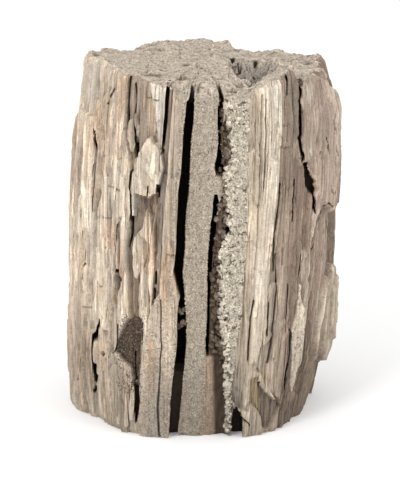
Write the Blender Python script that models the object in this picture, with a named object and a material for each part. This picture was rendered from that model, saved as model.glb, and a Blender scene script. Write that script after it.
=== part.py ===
"""Petrified wood: a sawn and broken section of a fossil log, standing on its flat foot.

The log is one stone. Its skin is a grid wrapped round the trunk: each point lies at the trunk's
own radius, moved in or out by the relief of splinters, cracks, hollows and lumps, and the same
grid closes over the broken top. The finished skin is thinned to a few thousand facets and the
foot is cut flat. The front faces -Y, X runs to the right and Z up; z = 0 is the foot, which
lies FOOT_DEPTH under the zero of the tables.

Tables are in millimetres. A place on the bark is (girth, height): girth runs round the trunk from
the middle of the front, positive to the right, measured at GIRTH_RADIUS.
"""
import math

import bmesh
import bpy
import numpy as np
from mathutils import Matrix

# Driving dimensions
MM = 0.001
GIRTH_RADIUS = 130.0
GIRTH = 2.0 * math.pi * GIRTH_RADIUS
RIM_HEIGHT = 340.0

# Fineness of the wrapped grid and of the finished solid
COLUMNS = 430
SIDE_ROWS = 104
TOP_RINGS = 26
FRONT_DENSITY = 0.55
SAW_ALLOWANCE = 9.0
FOOT_DEPTH = 5.0
FACET_TARGET = 9300

# Trunk radius at twelve compass angles, -180 (back) round by -90 (left), 0 (front) and 90 (right)
COMPASS_STEP = 30.0
TRUNK_RINGS = {
    0: (120, 124, 128, 131, 122, 127, 121, 123, 107, 110, 115, 118),
    60: (124, 127, 131, 132, 127, 129, 124, 127, 122, 127, 124, 122),
    150: (129, 129, 131, 131, 127, 129, 126, 130, 128, 129, 127, 127),
    240: (128, 126, 127, 127, 124, 127, 125, 129, 130, 131, 128, 125),
    300: (124, 121, 123, 122, 120, 124, 122, 126, 128, 131, 127, 120),
    350: (118, 112, 117, 117, 116, 119, 118, 120, 120, 117, 115, 112),
}

# Plates, ridges and hollows: level above the trunk, then rows of (height, left edge, right edge)
RELIEF = {
    "outer left slab": (3.5, (-12, -222, -160), (32, -228, -154), (86, -230, -146), (129, -228, -140),
                        (171, -222, -133), (198, -215, -126), (250, -205, -120), (290, -196, -122),
                        (302, -180, -133)),
    "middle slab": (2.5, (95, -112, -109), (128, -121, -97), (150, -122, -90), (206, -122, -88),
                    (230, -118, -78), (244, -113, -74), (280, -114, -76), (304, -115, -80),
                    (356, -119, -88)),
    "upper grey hollow": (-4, (260, -77, -74), (272, -79, -68), (286, -82, -56), (290, -83, -47),
                          (302, -85, -49), (320, -87, -53), (356, -90, -54)),
    "upper lens": (2, (278, -77, -74), (288, -80, -71), (298, -81, -69), (307, -79, -71),
                   (312, -75, -73)),
    "ridge's left face": (-3, (130, -52, -46), (178, -50, -41), (207, -49, -38), (248, -45, -35),
                          (285, -42, -33), (321, -40, -32), (338, -39, -33)),
    "cream splinter": (3, (284, -43, -41), (295, -46, -41), (317, -50, -39), (337, -55, -38),
                       (356, -60, -38)),
    "lower grey hollow": (-5, (100, -76, -72), (120, -78, -70), (146, -79, -66), (170, -80, -60),
                          (187, -80, -55), (213, -77, -50), (230, -76, -47), (242, -68, -46),
                          (247, -52, -47)),
    "pale splinter": (1.5, (155, -71, -67), (165, -73, -62), (180, -73, -57), (194, -71, -53),
                      (206, -62, -52), (219, -60, -54), (223, -58, -56)),
    "pale strip": (2.5, (216, -74, -72), (232, -75, -70), (262, -74, -70), (270, -73, -71)),
    "bright plate": (5, (236, -56, -54), (239, -67, -46), (248, -69, -44), (265, -69, -40),
                     (278, -66, -42), (284, -62, -45), (291, -58, -54)),
    "brown nick": (-6, (139, -95, -91), (150, -97, -86), (158, -92, -88)),
    "low left lens": (3, (33, -138, -134), (43, -142, -130), (60, -144, -125), (76, -140, -125),
                      (89, -133, -129)),
    "low middle lens": (3, (53, -114, -111), (62, -118, -105), (78, -119, -104), (93, -115, -112)),
    "grainy hollow": (-3, (36, -74, -70), (48, -78, -67), (60, -85, -66), (73, -98, -64),
                      (86, -97, -64), (100, -88, -62), (111, -80, -62), (116, -70, -67)),
    "dark nick": (-9, (64, -119, -115), (70, -117, -108), (74, -120, -117)),
    "foot slab": (2, (-12, -113, -83), (22, -115, -82), (38, -113, -76), (51, -111, -73),
                  (64, -109, -77), (72, -104, -90)),
    "foot splinter": (4, (9, -76, -73), (20, -77, -69), (35, -75, -68), (48, -72, -69)),
    "pink ridge": (6, (-12, -66, -33), (18, -65, -32), (47, -61, -29), (77, -58, -26),
                   (116, -54, -24), (131, -49, -24), (146, -42, -26), (180, -41, -26),
                   (209, -39, -24), (246, -36, -21), (285, -34, -19), (309, -33, -17),
                   (333, -31, -17), (339, -27, -22)),
    "sandy slab": (-4, (-12, -27, 1), (58, -22, 2), (87, -19, 2), (115, -18, 3), (132, -20, 3),
                   (160, -23, 4), (208, -20, 7), (235, -17, 26), (262, -15, 26), (290, -13, 18),
                   (326, -10, 18), (356, -15, 20)),
    "smooth face": (-7, (-12, -1, 11), (50, 0, 12), (81, 1, 13), (88, 3, 6)),
    "upper fissure wall": (-10, (259, 24, 28), (262, 23, 30), (272, 21, 33), (282, 18, 32),
                           (292, 17, 32), (299, 18, 33), (309, 21, 30), (316, 24, 27)),
    "lower fissure wall": (-9, (79, 4, 19), (103, 4, 20), (130, 4, 20), (157, 6, 20),
                           (172, 9, 20), (184, 10, 20), (194, 12, 23), (209, 13, 27),
                           (218, 14, 28), (229, 16, 27), (236, 18, 24)),
    "crust band": (1.5, (-12, 21, 28), (29, 22, 28), (52, 21, 29), (94, 20, 33), (122, 18, 39),
                   (146, 19, 39), (184, 18, 42), (205, 26, 43), (235, 25, 43), (261, 22, 43),
                   (274, 30, 44), (301, 30, 45), (311, 27, 46), (326, 22, 48), (356, 21, 47)),
    "cream band": (2.5, (72, 47, 54), (105, 48, 62), (145, 51, 63), (185, 54, 69), (234, 57, 75),
                   (282, 60, 81), (318, 62, 84), (356, 63, 86)),
    "dark channel": (-4, (261, 103, 107), (275, 98, 107), (295, 94, 106), (307, 92, 106),
                     (331, 94, 109), (356, 97, 114)),
    "right hollow": (-4, (50, 150, 178), (76, 136, 182), (108, 133, 186), (138, 131, 190),
                     (158, 132, 190), (179, 133, 188), (194, 136, 184), (202, 146, 176),
                     (211, 156, 160)),
    "curled tongue": (3, (196, 121, 124), (207, 120, 131), (219, 125, 144), (232, 127, 134),
                      (248, 124, 126)),
    "right slab": (4.5, (206, 157, 205), (214, 146, 215), (226, 132, 222), (238, 127, 228),
                   (248, 123, 232), (259, 115, 236), (269, 103, 238), (280, 102, 238),
                   (295, 100, 236), (306, 102, 226), (312, 103, 208), (324, 108, 181),
                   (336, 112, 155), (348, 122, 135)),
    "right bulge": (3, (24, 178, 196), (50, 170, 208), (78, 166, 218), (104, 167, 222),
                    (122, 171, 216), (136, 178, 202), (142, 184, 192)),
    "right bulge's crown": (6.5, (66, 188, 198), (84, 178, 210), (106, 178, 214),
                            (120, 184, 206), (128, 190, 198)),
    "light ridge": (1.5, (53, 116, 121), (77, 116, 120), (101, 119, 122.5), (132, 120, 123),
                    (162, 119, 123), (194, 121, 124)),
    "second light ridge": (1.5, (55, 147, 151), (90, 154, 158), (135, 163, 167)),
    "sandy splinter": (1.5, (30, 105, 107), (43, 100, 110), (57, 99, 112), (72, 98, 114),
                       (83, 97, 119), (92, 95, 120), (101, 98, 120), (112, 102, 116),
                       (125, 104, 110), (139, 106, 108)),
    "hollow under the ledge": (-5, (2, 52, 72), (20, 50, 86), (27, 50, 83), (34, 48, 75),
                               (40, 48, 68), (49, 49, 60)),
    "slanted ledge": (3, (30, 74, 77), (38, 66, 71), (44, 61, 68), (49, 57, 64), (56, 42, 60),
                      (63, 43, 52), (69, 43, 45)),
    "ochre strip": (0, (18, 49, 58), (53, 48, 57)),
    "front toe": (5, (-12, 40, 62), (2, 36, 60), (8, 37, 60), (15, 39, 59), (22, 44, 54),
                  (25, 46, 51)),
    "toe splinter": (5, (15, 42, 49), (21, 33, 47), (25, 30, 37), (30, 28, 30)),
    "arched notch": (-6, (-12, 160, 215), (28, 160, 222), (38, 155, 205), (50, 148, 160)),
}

# Deep cracks: floor level, then rows of (height, left lip, right lip)
CRACKS = {
    "left crack": (-38, (60, -29, -21), (88, -26, -18), (116, -25, -18), (136, -24, -19),
                   (146, -26, -20), (161, -29, -22), (180, -27, -20), (210, -25, -19),
                   (245, -23, -15), (269, -21, -14), (289, -20, -13), (308, -19, -11),
                   (328, -17, -10)),
    "left crack's head": (-16, (325, -17, -10), (334, -15, -11), (344, -14, -11)),
    "left crack's foot": (-20, (-12, -35, -26), (29, -33, -23), (66, -29, -21)),
    "upper fissure": (-36, (259, 13, 22), (262, 12, 23), (268, 12, 23), (276, 14, 20),
                      (286, 15.5, 18.5), (300, 15.5, 19.5), (308, 15, 20), (323, 16, 21)),
    "fissure's head": (-22, (320, 16, 21), (335, 17.5, 21.5), (342, 19, 21)),
    "lower fissure": (-36, (79, 1.5, 5), (92, 1.5, 5.5), (107, 3, 6.5), (135, 3.5, 6.5),
                      (150, 4, 8), (160, 4, 9), (172, 4.5, 8.5), (184, 5, 10), (194, 6, 12.5),
                      (209, 7, 13), (221, 9, 14), (231, 9.5, 16), (236, 11, 14)),
    "fissure's dark side": (-22, (199, 23.5, 26.5), (215, 24, 28.5), (229, 23.5, 28)),
    "fissure's foot": (-16, (-12, 10, 21), (34, 10, 22), (55, 12, 21), (82, 13, 19)),
    "foot notch": (-15, (-12, 29, 39), (12, 30, 40), (20, 32, 38), (24, 32, 34)),
    "gap under the curl": (-12, (211, 123, 125), (219, 124, 127), (226, 125, 129),
                           (233, 122, 129), (244, 118, 126), (254, 113, 122), (261, 108, 114)),
    "left slit": (-22, (214, -126.4, -125.6), (237, -125.9, -124.2), (252, -126.2, -123.6),
                  (267, -127, -122.8), (280, -128, -123.6), (288, -132.5, -129.5),
                  (295, -137, -136)),
    "top slit": (-22, (280, -43.5, -42), (300, -42, -39.5), (322, -41.5, -38), (348, -40, -36)),
    "right slit": (-18, (268, 105, 106), (286, 103, 105), (301, 102.6, 105.4), (319, 105, 109),
                   (332, 108.5, 113), (340, 112.5, 115.8), (345, 118, 120.5), (350, 126, 128)),
    "foot slit": (-18, (22, -142, -140), (34, -137, -133), (53, -129.8, -126.4),
                  (69, -130.8, -127.2), (84, -128.5, -125.5), (99, -124.5, -123.5)),
    "splinter slit": (-13, (8, -71, -69), (28, -69.6, -66.4), (42, -69.4, -67)),
}

# Lumps inside the fissure and along its right lip: (girth, height, radius, floor level)
FISSURE_LUMPS = (
    (29, 300, 5, -8), (24, 292, 5, -9), (28, 280, 6, -8), (22, 284, 4, -10), (29, 268, 6, -7),
    (24, 272, 4, -9), (22, 302, 4, -9), (26, 264, 4, -8),
    (19, 226, 5, -9), (16, 214, 5, -10), (19, 205, 5, -9), (22, 218, 5, -8), (15, 198, 4, -9),
    (17, 190, 4, -8), (13, 182, 4, -9), (18, 178, 5, -7),
    (14, 165, 4, -8), (10, 158, 4, -9), (17, 152, 5, -7), (11, 146, 4, -8), (16, 138, 5, -7),
    (10, 130, 4, -8), (15, 122, 5, -7), (11, 114, 5, -8), (17, 106, 5, -6), (11, 98, 4, -7),
    (16, 90, 5, -6), (10, 84, 4, -7), (-23, 121, 4, -5), (-21, 114, 4, -4), (-24, 108, 4, -6),
)
LIP_LUMP_COUNT = 90
LIP_LUMP_RADII = (3.0, 5.5)
LUMP_SEED = 5
LUMP_ROUNDNESS = 0.9
LUMP_CROWDING = 1.4

# Splinters that cover the rest of the bark, drawn at random with a fixed seed
SPLINTER_COUNT = 190
SPLINTER_TURNS = 7.0
SPLINTER_SEED = 19
SPLINTER_MIDDLES = (-20.0, 370.0)
SPLINTER_WIDTHS = (9.0, 46.0)
SPLINTER_LENGTHS = (90.0, 420.0)
SPLINTER_LEVELS = (-6.5, 5.0)
SPLINTER_END_SLOPES = (0.12, 0.8)
SPLINTER_SLANT = 1.6
SPLINTER_LEAN = 0.05
FRONT_REACH = 150.0
FRONT_CALM = 0.25
CALM_WIDTH = 30.0

# The broken top as spot heights: (x, y, height)
SPOT_HEIGHTS = (
    (-120, 0, 360), (-105, -54, 358), (-88, -79, 356), (-74, -92, 349), (-55, -104, 348),
    (-38, -110, 344), (-25, -118, 335), (-25, -98, 345), (-5, -118, 332), (0, -92, 342),
    (20, -118, 332), (22, -85, 342), (40, -112, 332), (44, -84, 338), (52, -106, 341),
    (62, -100, 350), (76, -90, 354), (92, -74, 340), (104, -58, 346), (112, -34, 342),
    (118, 10, 352), (104, 52, 342), (86, 80, 341), (60, 98, 336), (34, 106, 333), (24, 106, 346),
    (-6, 114, 347), (-41, 106, 346), (-70, 88, 341), (-84, 76, 338), (-108, 44, 346),
    (-60, -40, 349), (-60, 30, 345), (-10, -40, 346), (-10, 40, 346), (10, 80, 346),
    (14, 0, 343), (44, 44, 338), (86, 20, 340), (88, -30, 344), (56, 64, 335),
)
SPOT_SHARPNESS = 3.0
SPOT_SOFTNESS = 9.0

# The sunken part of the top, in plan: depth, then rows of (y, left x, right x)
TOP_HOLLOW = (25, (-84, 46, 54), (-70, 40, 60), (-50, 34, 63), (-28, 29, 67), (-8, 25, 72),
              (8, 23, 74), (20, 27, 64))
HOLLOW_EDGE = 12.0
HOLLOW_WAVES = ((4.0, 9.0, 9.0, 10), (4.0, 9.0, 9.0, 11))

# Pits in the top: (x, y, half width, half depth, sink)
TOP_PITS = (
    (76, -8, 7, 8, 6), (84, -40, 5, 9, 6), (-100, 20, 7, 5, 6), (-77, 8, 8, 4, 5),
    (-38, 20, 10, 4, 5), (-31, 4, 8, 3, 4), (-15, -20, 7, 4, 4), (-38, -50, 7, 4, 5),
    (-17, -78, 8, 5, 5), (-8, 56, 12, 4, 5), (4, 30, 9, 4, 5), (-60, -72, 9, 4, 4),
    (84, 50, 8, 5, 5), (102, -6, 6, 5, 7), (14, -66, 7, 4, 5), (-88, -30, 9, 4, 4),
    (-50, 70, 10, 5, 5), (30, 84, 6, 8, 5), (-105, -8, 5, 4, 6),
)
PIT_RIM = 1.35
PIT_SLOPE = 0.9
TOP_WAVES = ((2.2, 18.0, 11.0, 7), (1.1, 8.0, 4.5, 8))
RIM_WEAR = 4.0
RIM_WEAR_DEPTH = 6.0

# Waves of the edges, as (height, width across the grain, length along it, seed), and how soft the
# steps are
EDGE_WAVES = (0.8, 9.0, 22.0, 1)
END_WAVES = (1.5, 6.0, 30.0, 3)
SPLINTER_JAGS = (8.0, 3.0, 60.0, 15)
STEP_WIDTH = 1.6
CRACK_STEP_WIDTH = 1.6
ENDS_SLOPE = 0.5

# Waves of the bark itself, which run with the grain
SWELLS = (2.0, 26.0, 140.0, 4)
RIBS = (1.2, 8.0, 90.0, 5)
FIBRES = (0.8, 4.5, 60.0, 6)
RIM_WAVES = (0.5, 9.0, 1.0, 9)

STONE_COLOUR = (0.52, 0.44, 0.35, 1.0)
STONE_ROUGHNESS = 0.92


def lattice(ix, iy, iz, seed):
    """Repeatable numbers from -1 to 1, one for each whole-number place."""
    n = (ix * 73856093) ^ (iy * 19349663) ^ (iz * 83492791) ^ (seed * 2654435761)
    n = ((n ^ (n >> 13)) * 1274126177) & 0x7FFFFFFF
    n = n ^ (n >> 16)
    return (n & 0xFFFF) / 32767.5 - 1.0


def noise(x, y, z, seed):
    """Smooth value noise on three coordinates."""
    cells = [np.floor(v).astype(np.int64) for v in (x, y, z)]
    parts = [v - c for v, c in zip((x, y, z), cells)]
    fx, fy, fz = [p * p * (3.0 - 2.0 * p) for p in parts]
    total = 0.0
    for dx in (0, 1):
        for dy in (0, 1):
            for dz in (0, 1):
                share = (fx if dx else 1 - fx) * (fy if dy else 1 - fy) * (fz if dz else 1 - fz)
                total = total + share * lattice(cells[0] + dx, cells[1] + dy, cells[2] + dz, seed)
    return total


def wave(px, py, height, shape):
    size, across, along, seed = shape
    return size * noise(px / across, py / across, height / along, seed)


def flat_wave(x, y, shape):
    size, long, deep, seed = shape
    return size * noise(x / long, y / deep, 0.0 * x, seed)


def smooth_step(value, width):
    """Rises smoothly from 0 to 1 over the width."""
    t = np.clip(value / width, 0.0, 1.0)
    return t * t * (3.0 - 2.0 * t)


def round_trunk(angle):
    """A point on a plain cylinder, so that noise closes on itself behind the trunk."""
    return GIRTH_RADIUS * np.sin(angle), -GIRTH_RADIUS * np.cos(angle)


def ring_radius(ring, angle):
    """Trunk radius on one ring, on a smooth curve through the compass angles."""
    turn = (np.degrees(angle) + 180.0) / COMPASS_STEP
    start = np.floor(turn).astype(int)
    f = turn - start
    values = np.array(ring, dtype=float)
    p0, p1, p2, p3 = [values[(start + k) % len(values)] for k in (-1, 0, 1, 2)]
    return 0.5 * (2 * p1 + (p2 - p0) * f + (2 * p0 - 5 * p1 + 4 * p2 - p3) * f ** 2
                  + (3 * p1 - p0 - 3 * p2 + p3) * f ** 3)


def trunk_radius(angle, height):
    levels = sorted(TRUNK_RINGS)
    radii = [ring_radius(TRUNK_RINGS[level], angle) for level in levels]
    height = np.clip(height, levels[0], levels[-1])
    radius = radii[0]
    for k in range(len(levels) - 1):
        t = np.clip((height - levels[k]) / (levels[k + 1] - levels[k]), 0.0, 1.0)
        radius = np.where(height >= levels[k], radii[k] * (1 - t) + radii[k + 1] * t, radius)
    return radius


def strip_mask(girth, height, rows, width):
    """1 inside an outline given by its left and right edges at several heights."""
    heights, left, right = np.array(rows, dtype=float).T
    low = np.interp(height, heights, left)
    high = np.interp(height, heights, right)
    inside = np.minimum(girth - low, high - girth)
    ends = np.minimum(height - heights[0], heights[-1] - height) * ENDS_SLOPE + width
    return smooth_step(np.minimum(inside, ends) + 0.5 * width, width)


def apply_level(relief, mask, level):
    return relief * (1.0 - mask) + level * mask


def splinter_share(across, along, wide, long, slope, slants):
    """Distance inside a splinter with straight sides and two ends cut at a slant."""
    ends = np.minimum(long + along + slants[0] * across, long - along + slants[1] * across)
    return np.minimum(wide - np.abs(across), slope * ends)


def add_random_splinters(relief, girth, height):
    """Overlapping splinters all round, quieter on the front, where the named ones lie."""
    draw = np.random.RandomState(SPLINTER_SEED)
    px, py = round_trunk(girth / GIRTH_RADIUS)
    jagged = height + wave(px, py, height, SPLINTER_JAGS)
    calm = FRONT_CALM + (1 - FRONT_CALM) * smooth_step(np.abs(girth) - FRONT_REACH, CALM_WIDTH)
    for index in range(SPLINTER_COUNT):
        centre = (index + draw.uniform(0.2, 0.8)) / SPLINTER_COUNT * GIRTH * SPLINTER_TURNS
        middle = draw.uniform(*SPLINTER_MIDDLES)
        wide = draw.uniform(*SPLINTER_WIDTHS) * 0.5
        long = draw.uniform(*SPLINTER_LENGTHS) * 0.5
        level = draw.uniform(*SPLINTER_LEVELS)
        slope = draw.uniform(*SPLINTER_END_SLOPES)
        slants = draw.uniform(-SPLINTER_SLANT, SPLINTER_SLANT, 2)
        lean = draw.uniform(-SPLINTER_LEAN, SPLINTER_LEAN)
        along = jagged - middle
        across = girth - centre - lean * along
        across = (across + GIRTH / 2) % GIRTH - GIRTH / 2
        inside = splinter_share(across, along, wide, long, slope, slants)
        relief = apply_level(relief, smooth_step(inside, STEP_WIDTH), level * calm)
    return relief


def lip_lumps():
    """Rounded lumps of crust along the right side of the fissure."""
    draw = np.random.RandomState(LUMP_SEED)
    heights, left, right = np.array(RELIEF["crust band"][1:], dtype=float).T
    for _ in range(LIP_LUMP_COUNT):
        height = draw.uniform(0.0, RIM_HEIGHT)
        share = draw.uniform(0.0, 1.0) ** LUMP_CROWDING
        radius = draw.uniform(*LIP_LUMP_RADII)
        low = np.interp(height, heights, left)
        high = np.interp(height, heights, right)
        yield low + share * (high - low), height, radius, 0.0


def bark_relief(angle, height):
    """How far the skin lies outside the plain trunk."""
    px, py = round_trunk(angle)
    girth = angle * GIRTH_RADIUS + wave(px, py, height, EDGE_WAVES)
    height = height + wave(px, py, height, END_WAVES)
    relief = wave(px, py, height, SWELLS) + wave(px, py, height, RIBS)
    relief = add_random_splinters(relief, girth, height)
    for level, *rows in RELIEF.values():
        relief = apply_level(relief, strip_mask(girth, height, rows, STEP_WIDTH), level)
    relief = relief + wave(px, py, height, FIBRES)
    for level, *rows in CRACKS.values():
        relief = apply_level(relief, strip_mask(girth, height, rows, CRACK_STEP_WIDTH), level)
    for centre, middle, radius, floor in list(lip_lumps()) + list(FISSURE_LUMPS):
        apart = (girth - centre) ** 2 + (height - middle) ** 2
        dome = floor + LUMP_ROUNDNESS * np.sqrt(np.clip(radius ** 2 - apart, 0.0, None))
        relief = np.where(apart < radius ** 2, np.maximum(relief, dome), relief)
    return relief


def hollow_share(x, y, edge):
    """1 on the floor of the top's sunken part, 0 outside it."""
    sideways, along = [flat_wave(x, y, shape) for shape in HOLLOW_WAVES]
    return strip_mask(x + sideways, y + along, TOP_HOLLOW[1:], edge)


def top_height(x, y):
    """The broken top: spot heights joined smoothly, with a hollow, pits and a rough grain."""
    weight_sum = 0.0
    height_sum = 0.0
    for sx, sy, sz in SPOT_HEIGHTS:
        weight = 1.0 / (((x - sx) ** 2 + (y - sy) ** 2 + SPOT_SOFTNESS) ** (SPOT_SHARPNESS / 2))
        weight_sum = weight_sum + weight
        height_sum = height_sum + weight * sz
    height = height_sum / weight_sum
    for cx, cy, half_x, half_y, sink in TOP_PITS:
        reach = ((x - cx) / half_x) ** 2 + ((y - cy) / half_y) ** 2
        height = height - sink * smooth_step(PIT_RIM - reach, PIT_SLOPE)
    height = height - TOP_HOLLOW[0] * hollow_share(x, y, HOLLOW_EDGE)
    return height + sum(flat_wave(x, y, shape) for shape in TOP_WAVES)


def wrapped_positions(across, up):
    """Skin positions for grid places: across runs round the trunk, up from foot to top centre."""
    angle = math.pi * (FRONT_DENSITY * across + (1 - FRONT_DENSITY) * across ** 3)
    row = np.rint(up * (1 + SIDE_ROWS + TOP_RINGS)).astype(int)
    climb = np.clip((row - 1) / SIDE_ROWS, 0.0, 1.0)
    ring = np.clip(1.0 - (row - 1 - SIDE_ROWS) / TOP_RINGS, 0.0, 1.0)

    def radius_at(height):
        return trunk_radius(angle, height) + bark_relief(angle, height)

    rim = radius_at(np.full_like(angle, RIM_HEIGHT))
    rim_x = rim * np.sin(angle)
    rim_y = -rim * np.cos(angle)
    rim_z = top_height(rim_x, rim_y)
    height = -SAW_ALLOWANCE + climb * (rim_z + SAW_ALLOWANCE)
    radius = radius_at(height)
    worn = smooth_step(height - (rim_z - RIM_WEAR_DEPTH), RIM_WEAR_DEPTH)
    px, py = round_trunk(angle)
    radius = radius - worn * RIM_WEAR * (0.5 + wave(px, py, 0.0 * px, RIM_WAVES))
    x = radius * np.sin(angle) * ring
    y = -radius * np.cos(angle) * ring
    z = np.where(ring < 1.0, top_height(x, y), height)
    centre = row == 0
    return np.where(centre, 0.0, x), np.where(centre, 0.0, y), z


def wrapped_skin(name):
    """A grid primitive wrapped into the closed skin of the log."""
    rows = 1 + SIDE_ROWS + TOP_RINGS
    shape = bmesh.new()
    bmesh.ops.create_grid(shape, x_segments=COLUMNS, y_segments=rows, size=0.5)
    mesh = bpy.data.meshes.new(name)
    shape.to_mesh(mesh)
    shape.free()
    flat = np.empty(len(mesh.vertices) * 3)
    mesh.vertices.foreach_get("co", flat)
    flat = flat.reshape(-1, 3)
    places = np.stack(wrapped_positions(flat[:, 0] * 2.0, flat[:, 1] + 0.5), axis=1) * MM
    mesh.vertices.foreach_set("co", places.ravel())
    shape = bmesh.new()
    shape.from_mesh(mesh)
    bmesh.ops.remove_doubles(shape, verts=shape.verts[:], dist=0.00001)
    bmesh.ops.dissolve_degenerate(shape, edges=shape.edges[:], dist=0.00001)
    bmesh.ops.recalc_face_normals(shape, faces=shape.faces[:])
    shape.to_mesh(mesh)
    shape.free()
    return mesh


def thinned(mesh, collection):
    """The skin with its facets reduced to the target by a Decimate modifier."""
    draft = bpy.data.objects.new("draft", mesh)
    collection.objects.link(draft)
    triangles = sum(len(face.vertices) - 2 for face in mesh.polygons)
    decimate = draft.modifiers.new("thin facets", "DECIMATE")
    decimate.ratio = FACET_TARGET / triangles
    decimate.use_collapse_triangulate = True
    depsgraph = bpy.context.evaluated_depsgraph_get()
    result = bpy.data.meshes.new_from_object(draft.evaluated_get(depsgraph))
    bpy.data.objects.remove(draft)
    return result


def saw_foot(mesh):
    """Cut the foot flat, FOOT_DEPTH under the tables' zero, and close it."""
    shape = bmesh.new()
    shape.from_mesh(mesh)
    everything = shape.verts[:] + shape.edges[:] + shape.faces[:]
    cut = bmesh.ops.bisect_plane(shape, geom=everything, dist=0.000001, clear_inner=True,
                                 plane_co=(0, 0, -FOOT_DEPTH * MM), plane_no=(0, 0, 1))
    rim = [item for item in cut["geom_cut"] if isinstance(item, bmesh.types.BMEdge)]
    foot = bmesh.ops.edgeloop_fill(shape, edges=rim)
    bmesh.ops.triangulate(shape, faces=foot["faces"])
    bmesh.ops.recalc_face_normals(shape, faces=shape.faces[:])
    shape.to_mesh(mesh)
    shape.free()


def stone_material():
    material = bpy.data.materials.new("weathered fossil wood")
    material.use_nodes = True
    shader = material.node_tree.nodes["Principled BSDF"]
    shader.inputs["Base Color"].default_value = STONE_COLOUR
    shader.inputs["Roughness"].default_value = STONE_ROUGHNESS
    shader.inputs["Metallic"].default_value = 0.0
    return material


def build():
    for item in list(bpy.data.objects):
        bpy.data.objects.remove(item)
    collection = bpy.data.collections.new("petrified wood")
    bpy.context.scene.collection.children.link(collection)
    mesh = thinned(wrapped_skin("petrified_wood"), collection)
    saw_foot(mesh)
    mesh.transform(Matrix.Translation((0.0, 0.0, FOOT_DEPTH * MM)))
    mesh.name = "petrified_wood"
    mesh.materials.append(stone_material())
    collection.objects.link(bpy.data.objects.new("petrified_wood", mesh))


build()
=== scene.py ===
"""Petrified wood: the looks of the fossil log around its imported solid.

The fine skin is the same wrapped grid as the solid's, with the same tables, carried down to fibres,
slits, crust and sand. Tables are in millimetres. A place on the bark is (girth, height): girth runs
round the trunk from the middle of the front, positive to the right, measured at GIRTH_RADIUS.
"""
import math

import bmesh
import bpy
import numpy as np
from mathutils import Matrix


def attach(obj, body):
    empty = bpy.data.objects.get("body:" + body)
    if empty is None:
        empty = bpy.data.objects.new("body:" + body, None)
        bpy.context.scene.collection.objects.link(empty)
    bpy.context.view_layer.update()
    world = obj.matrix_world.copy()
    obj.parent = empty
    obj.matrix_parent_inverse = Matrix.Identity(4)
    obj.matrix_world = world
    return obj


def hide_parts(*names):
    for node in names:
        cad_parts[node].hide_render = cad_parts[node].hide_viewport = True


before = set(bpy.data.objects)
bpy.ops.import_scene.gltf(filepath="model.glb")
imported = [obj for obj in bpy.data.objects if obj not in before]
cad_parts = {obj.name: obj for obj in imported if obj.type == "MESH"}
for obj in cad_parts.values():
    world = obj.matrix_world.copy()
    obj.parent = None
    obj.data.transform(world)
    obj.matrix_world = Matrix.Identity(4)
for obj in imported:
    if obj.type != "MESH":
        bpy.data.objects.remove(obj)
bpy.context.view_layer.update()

MM = 0.001
GIRTH_RADIUS = 130.0
GIRTH = 2.0 * math.pi * GIRTH_RADIUS
RIM_HEIGHT = 340.0

# Fineness of the wrapped grid and of the finished skin
COLUMNS = 1150
SIDE_ROWS = 300
TOP_RINGS = 74
FRONT_DENSITY = 0.46
SAW_ALLOWANCE = 9.0
FOOT_DEPTH = 5.0
SKIN_TRIANGLES = 195000
SHARP_ANGLE = math.radians(48.0)
STRAIGHT_REACH = math.radians(78.0)
STRAIGHT_BLEND = math.radians(24.0)

# Trunk radius at twelve compass angles, -180 (back) round by -90 (left), 0 (front) and 90 (right)
COMPASS_STEP = 30.0
TRUNK_RINGS = {
    0: (120, 124, 128, 131, 122, 127, 121, 123, 107, 110, 115, 118),
    60: (124, 127, 131, 132, 127, 129, 124, 127, 122, 127, 124, 122),
    150: (129, 129, 131, 131, 127, 129, 126, 130, 128, 129, 127, 127),
    240: (128, 126, 127, 127, 124, 127, 125, 129, 130, 131, 128, 125),
    300: (124, 121, 123, 122, 120, 124, 122, 126, 128, 131, 127, 120),
    350: (118, 112, 117, 117, 116, 119, 118, 120, 120, 117, 115, 112),
}

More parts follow.
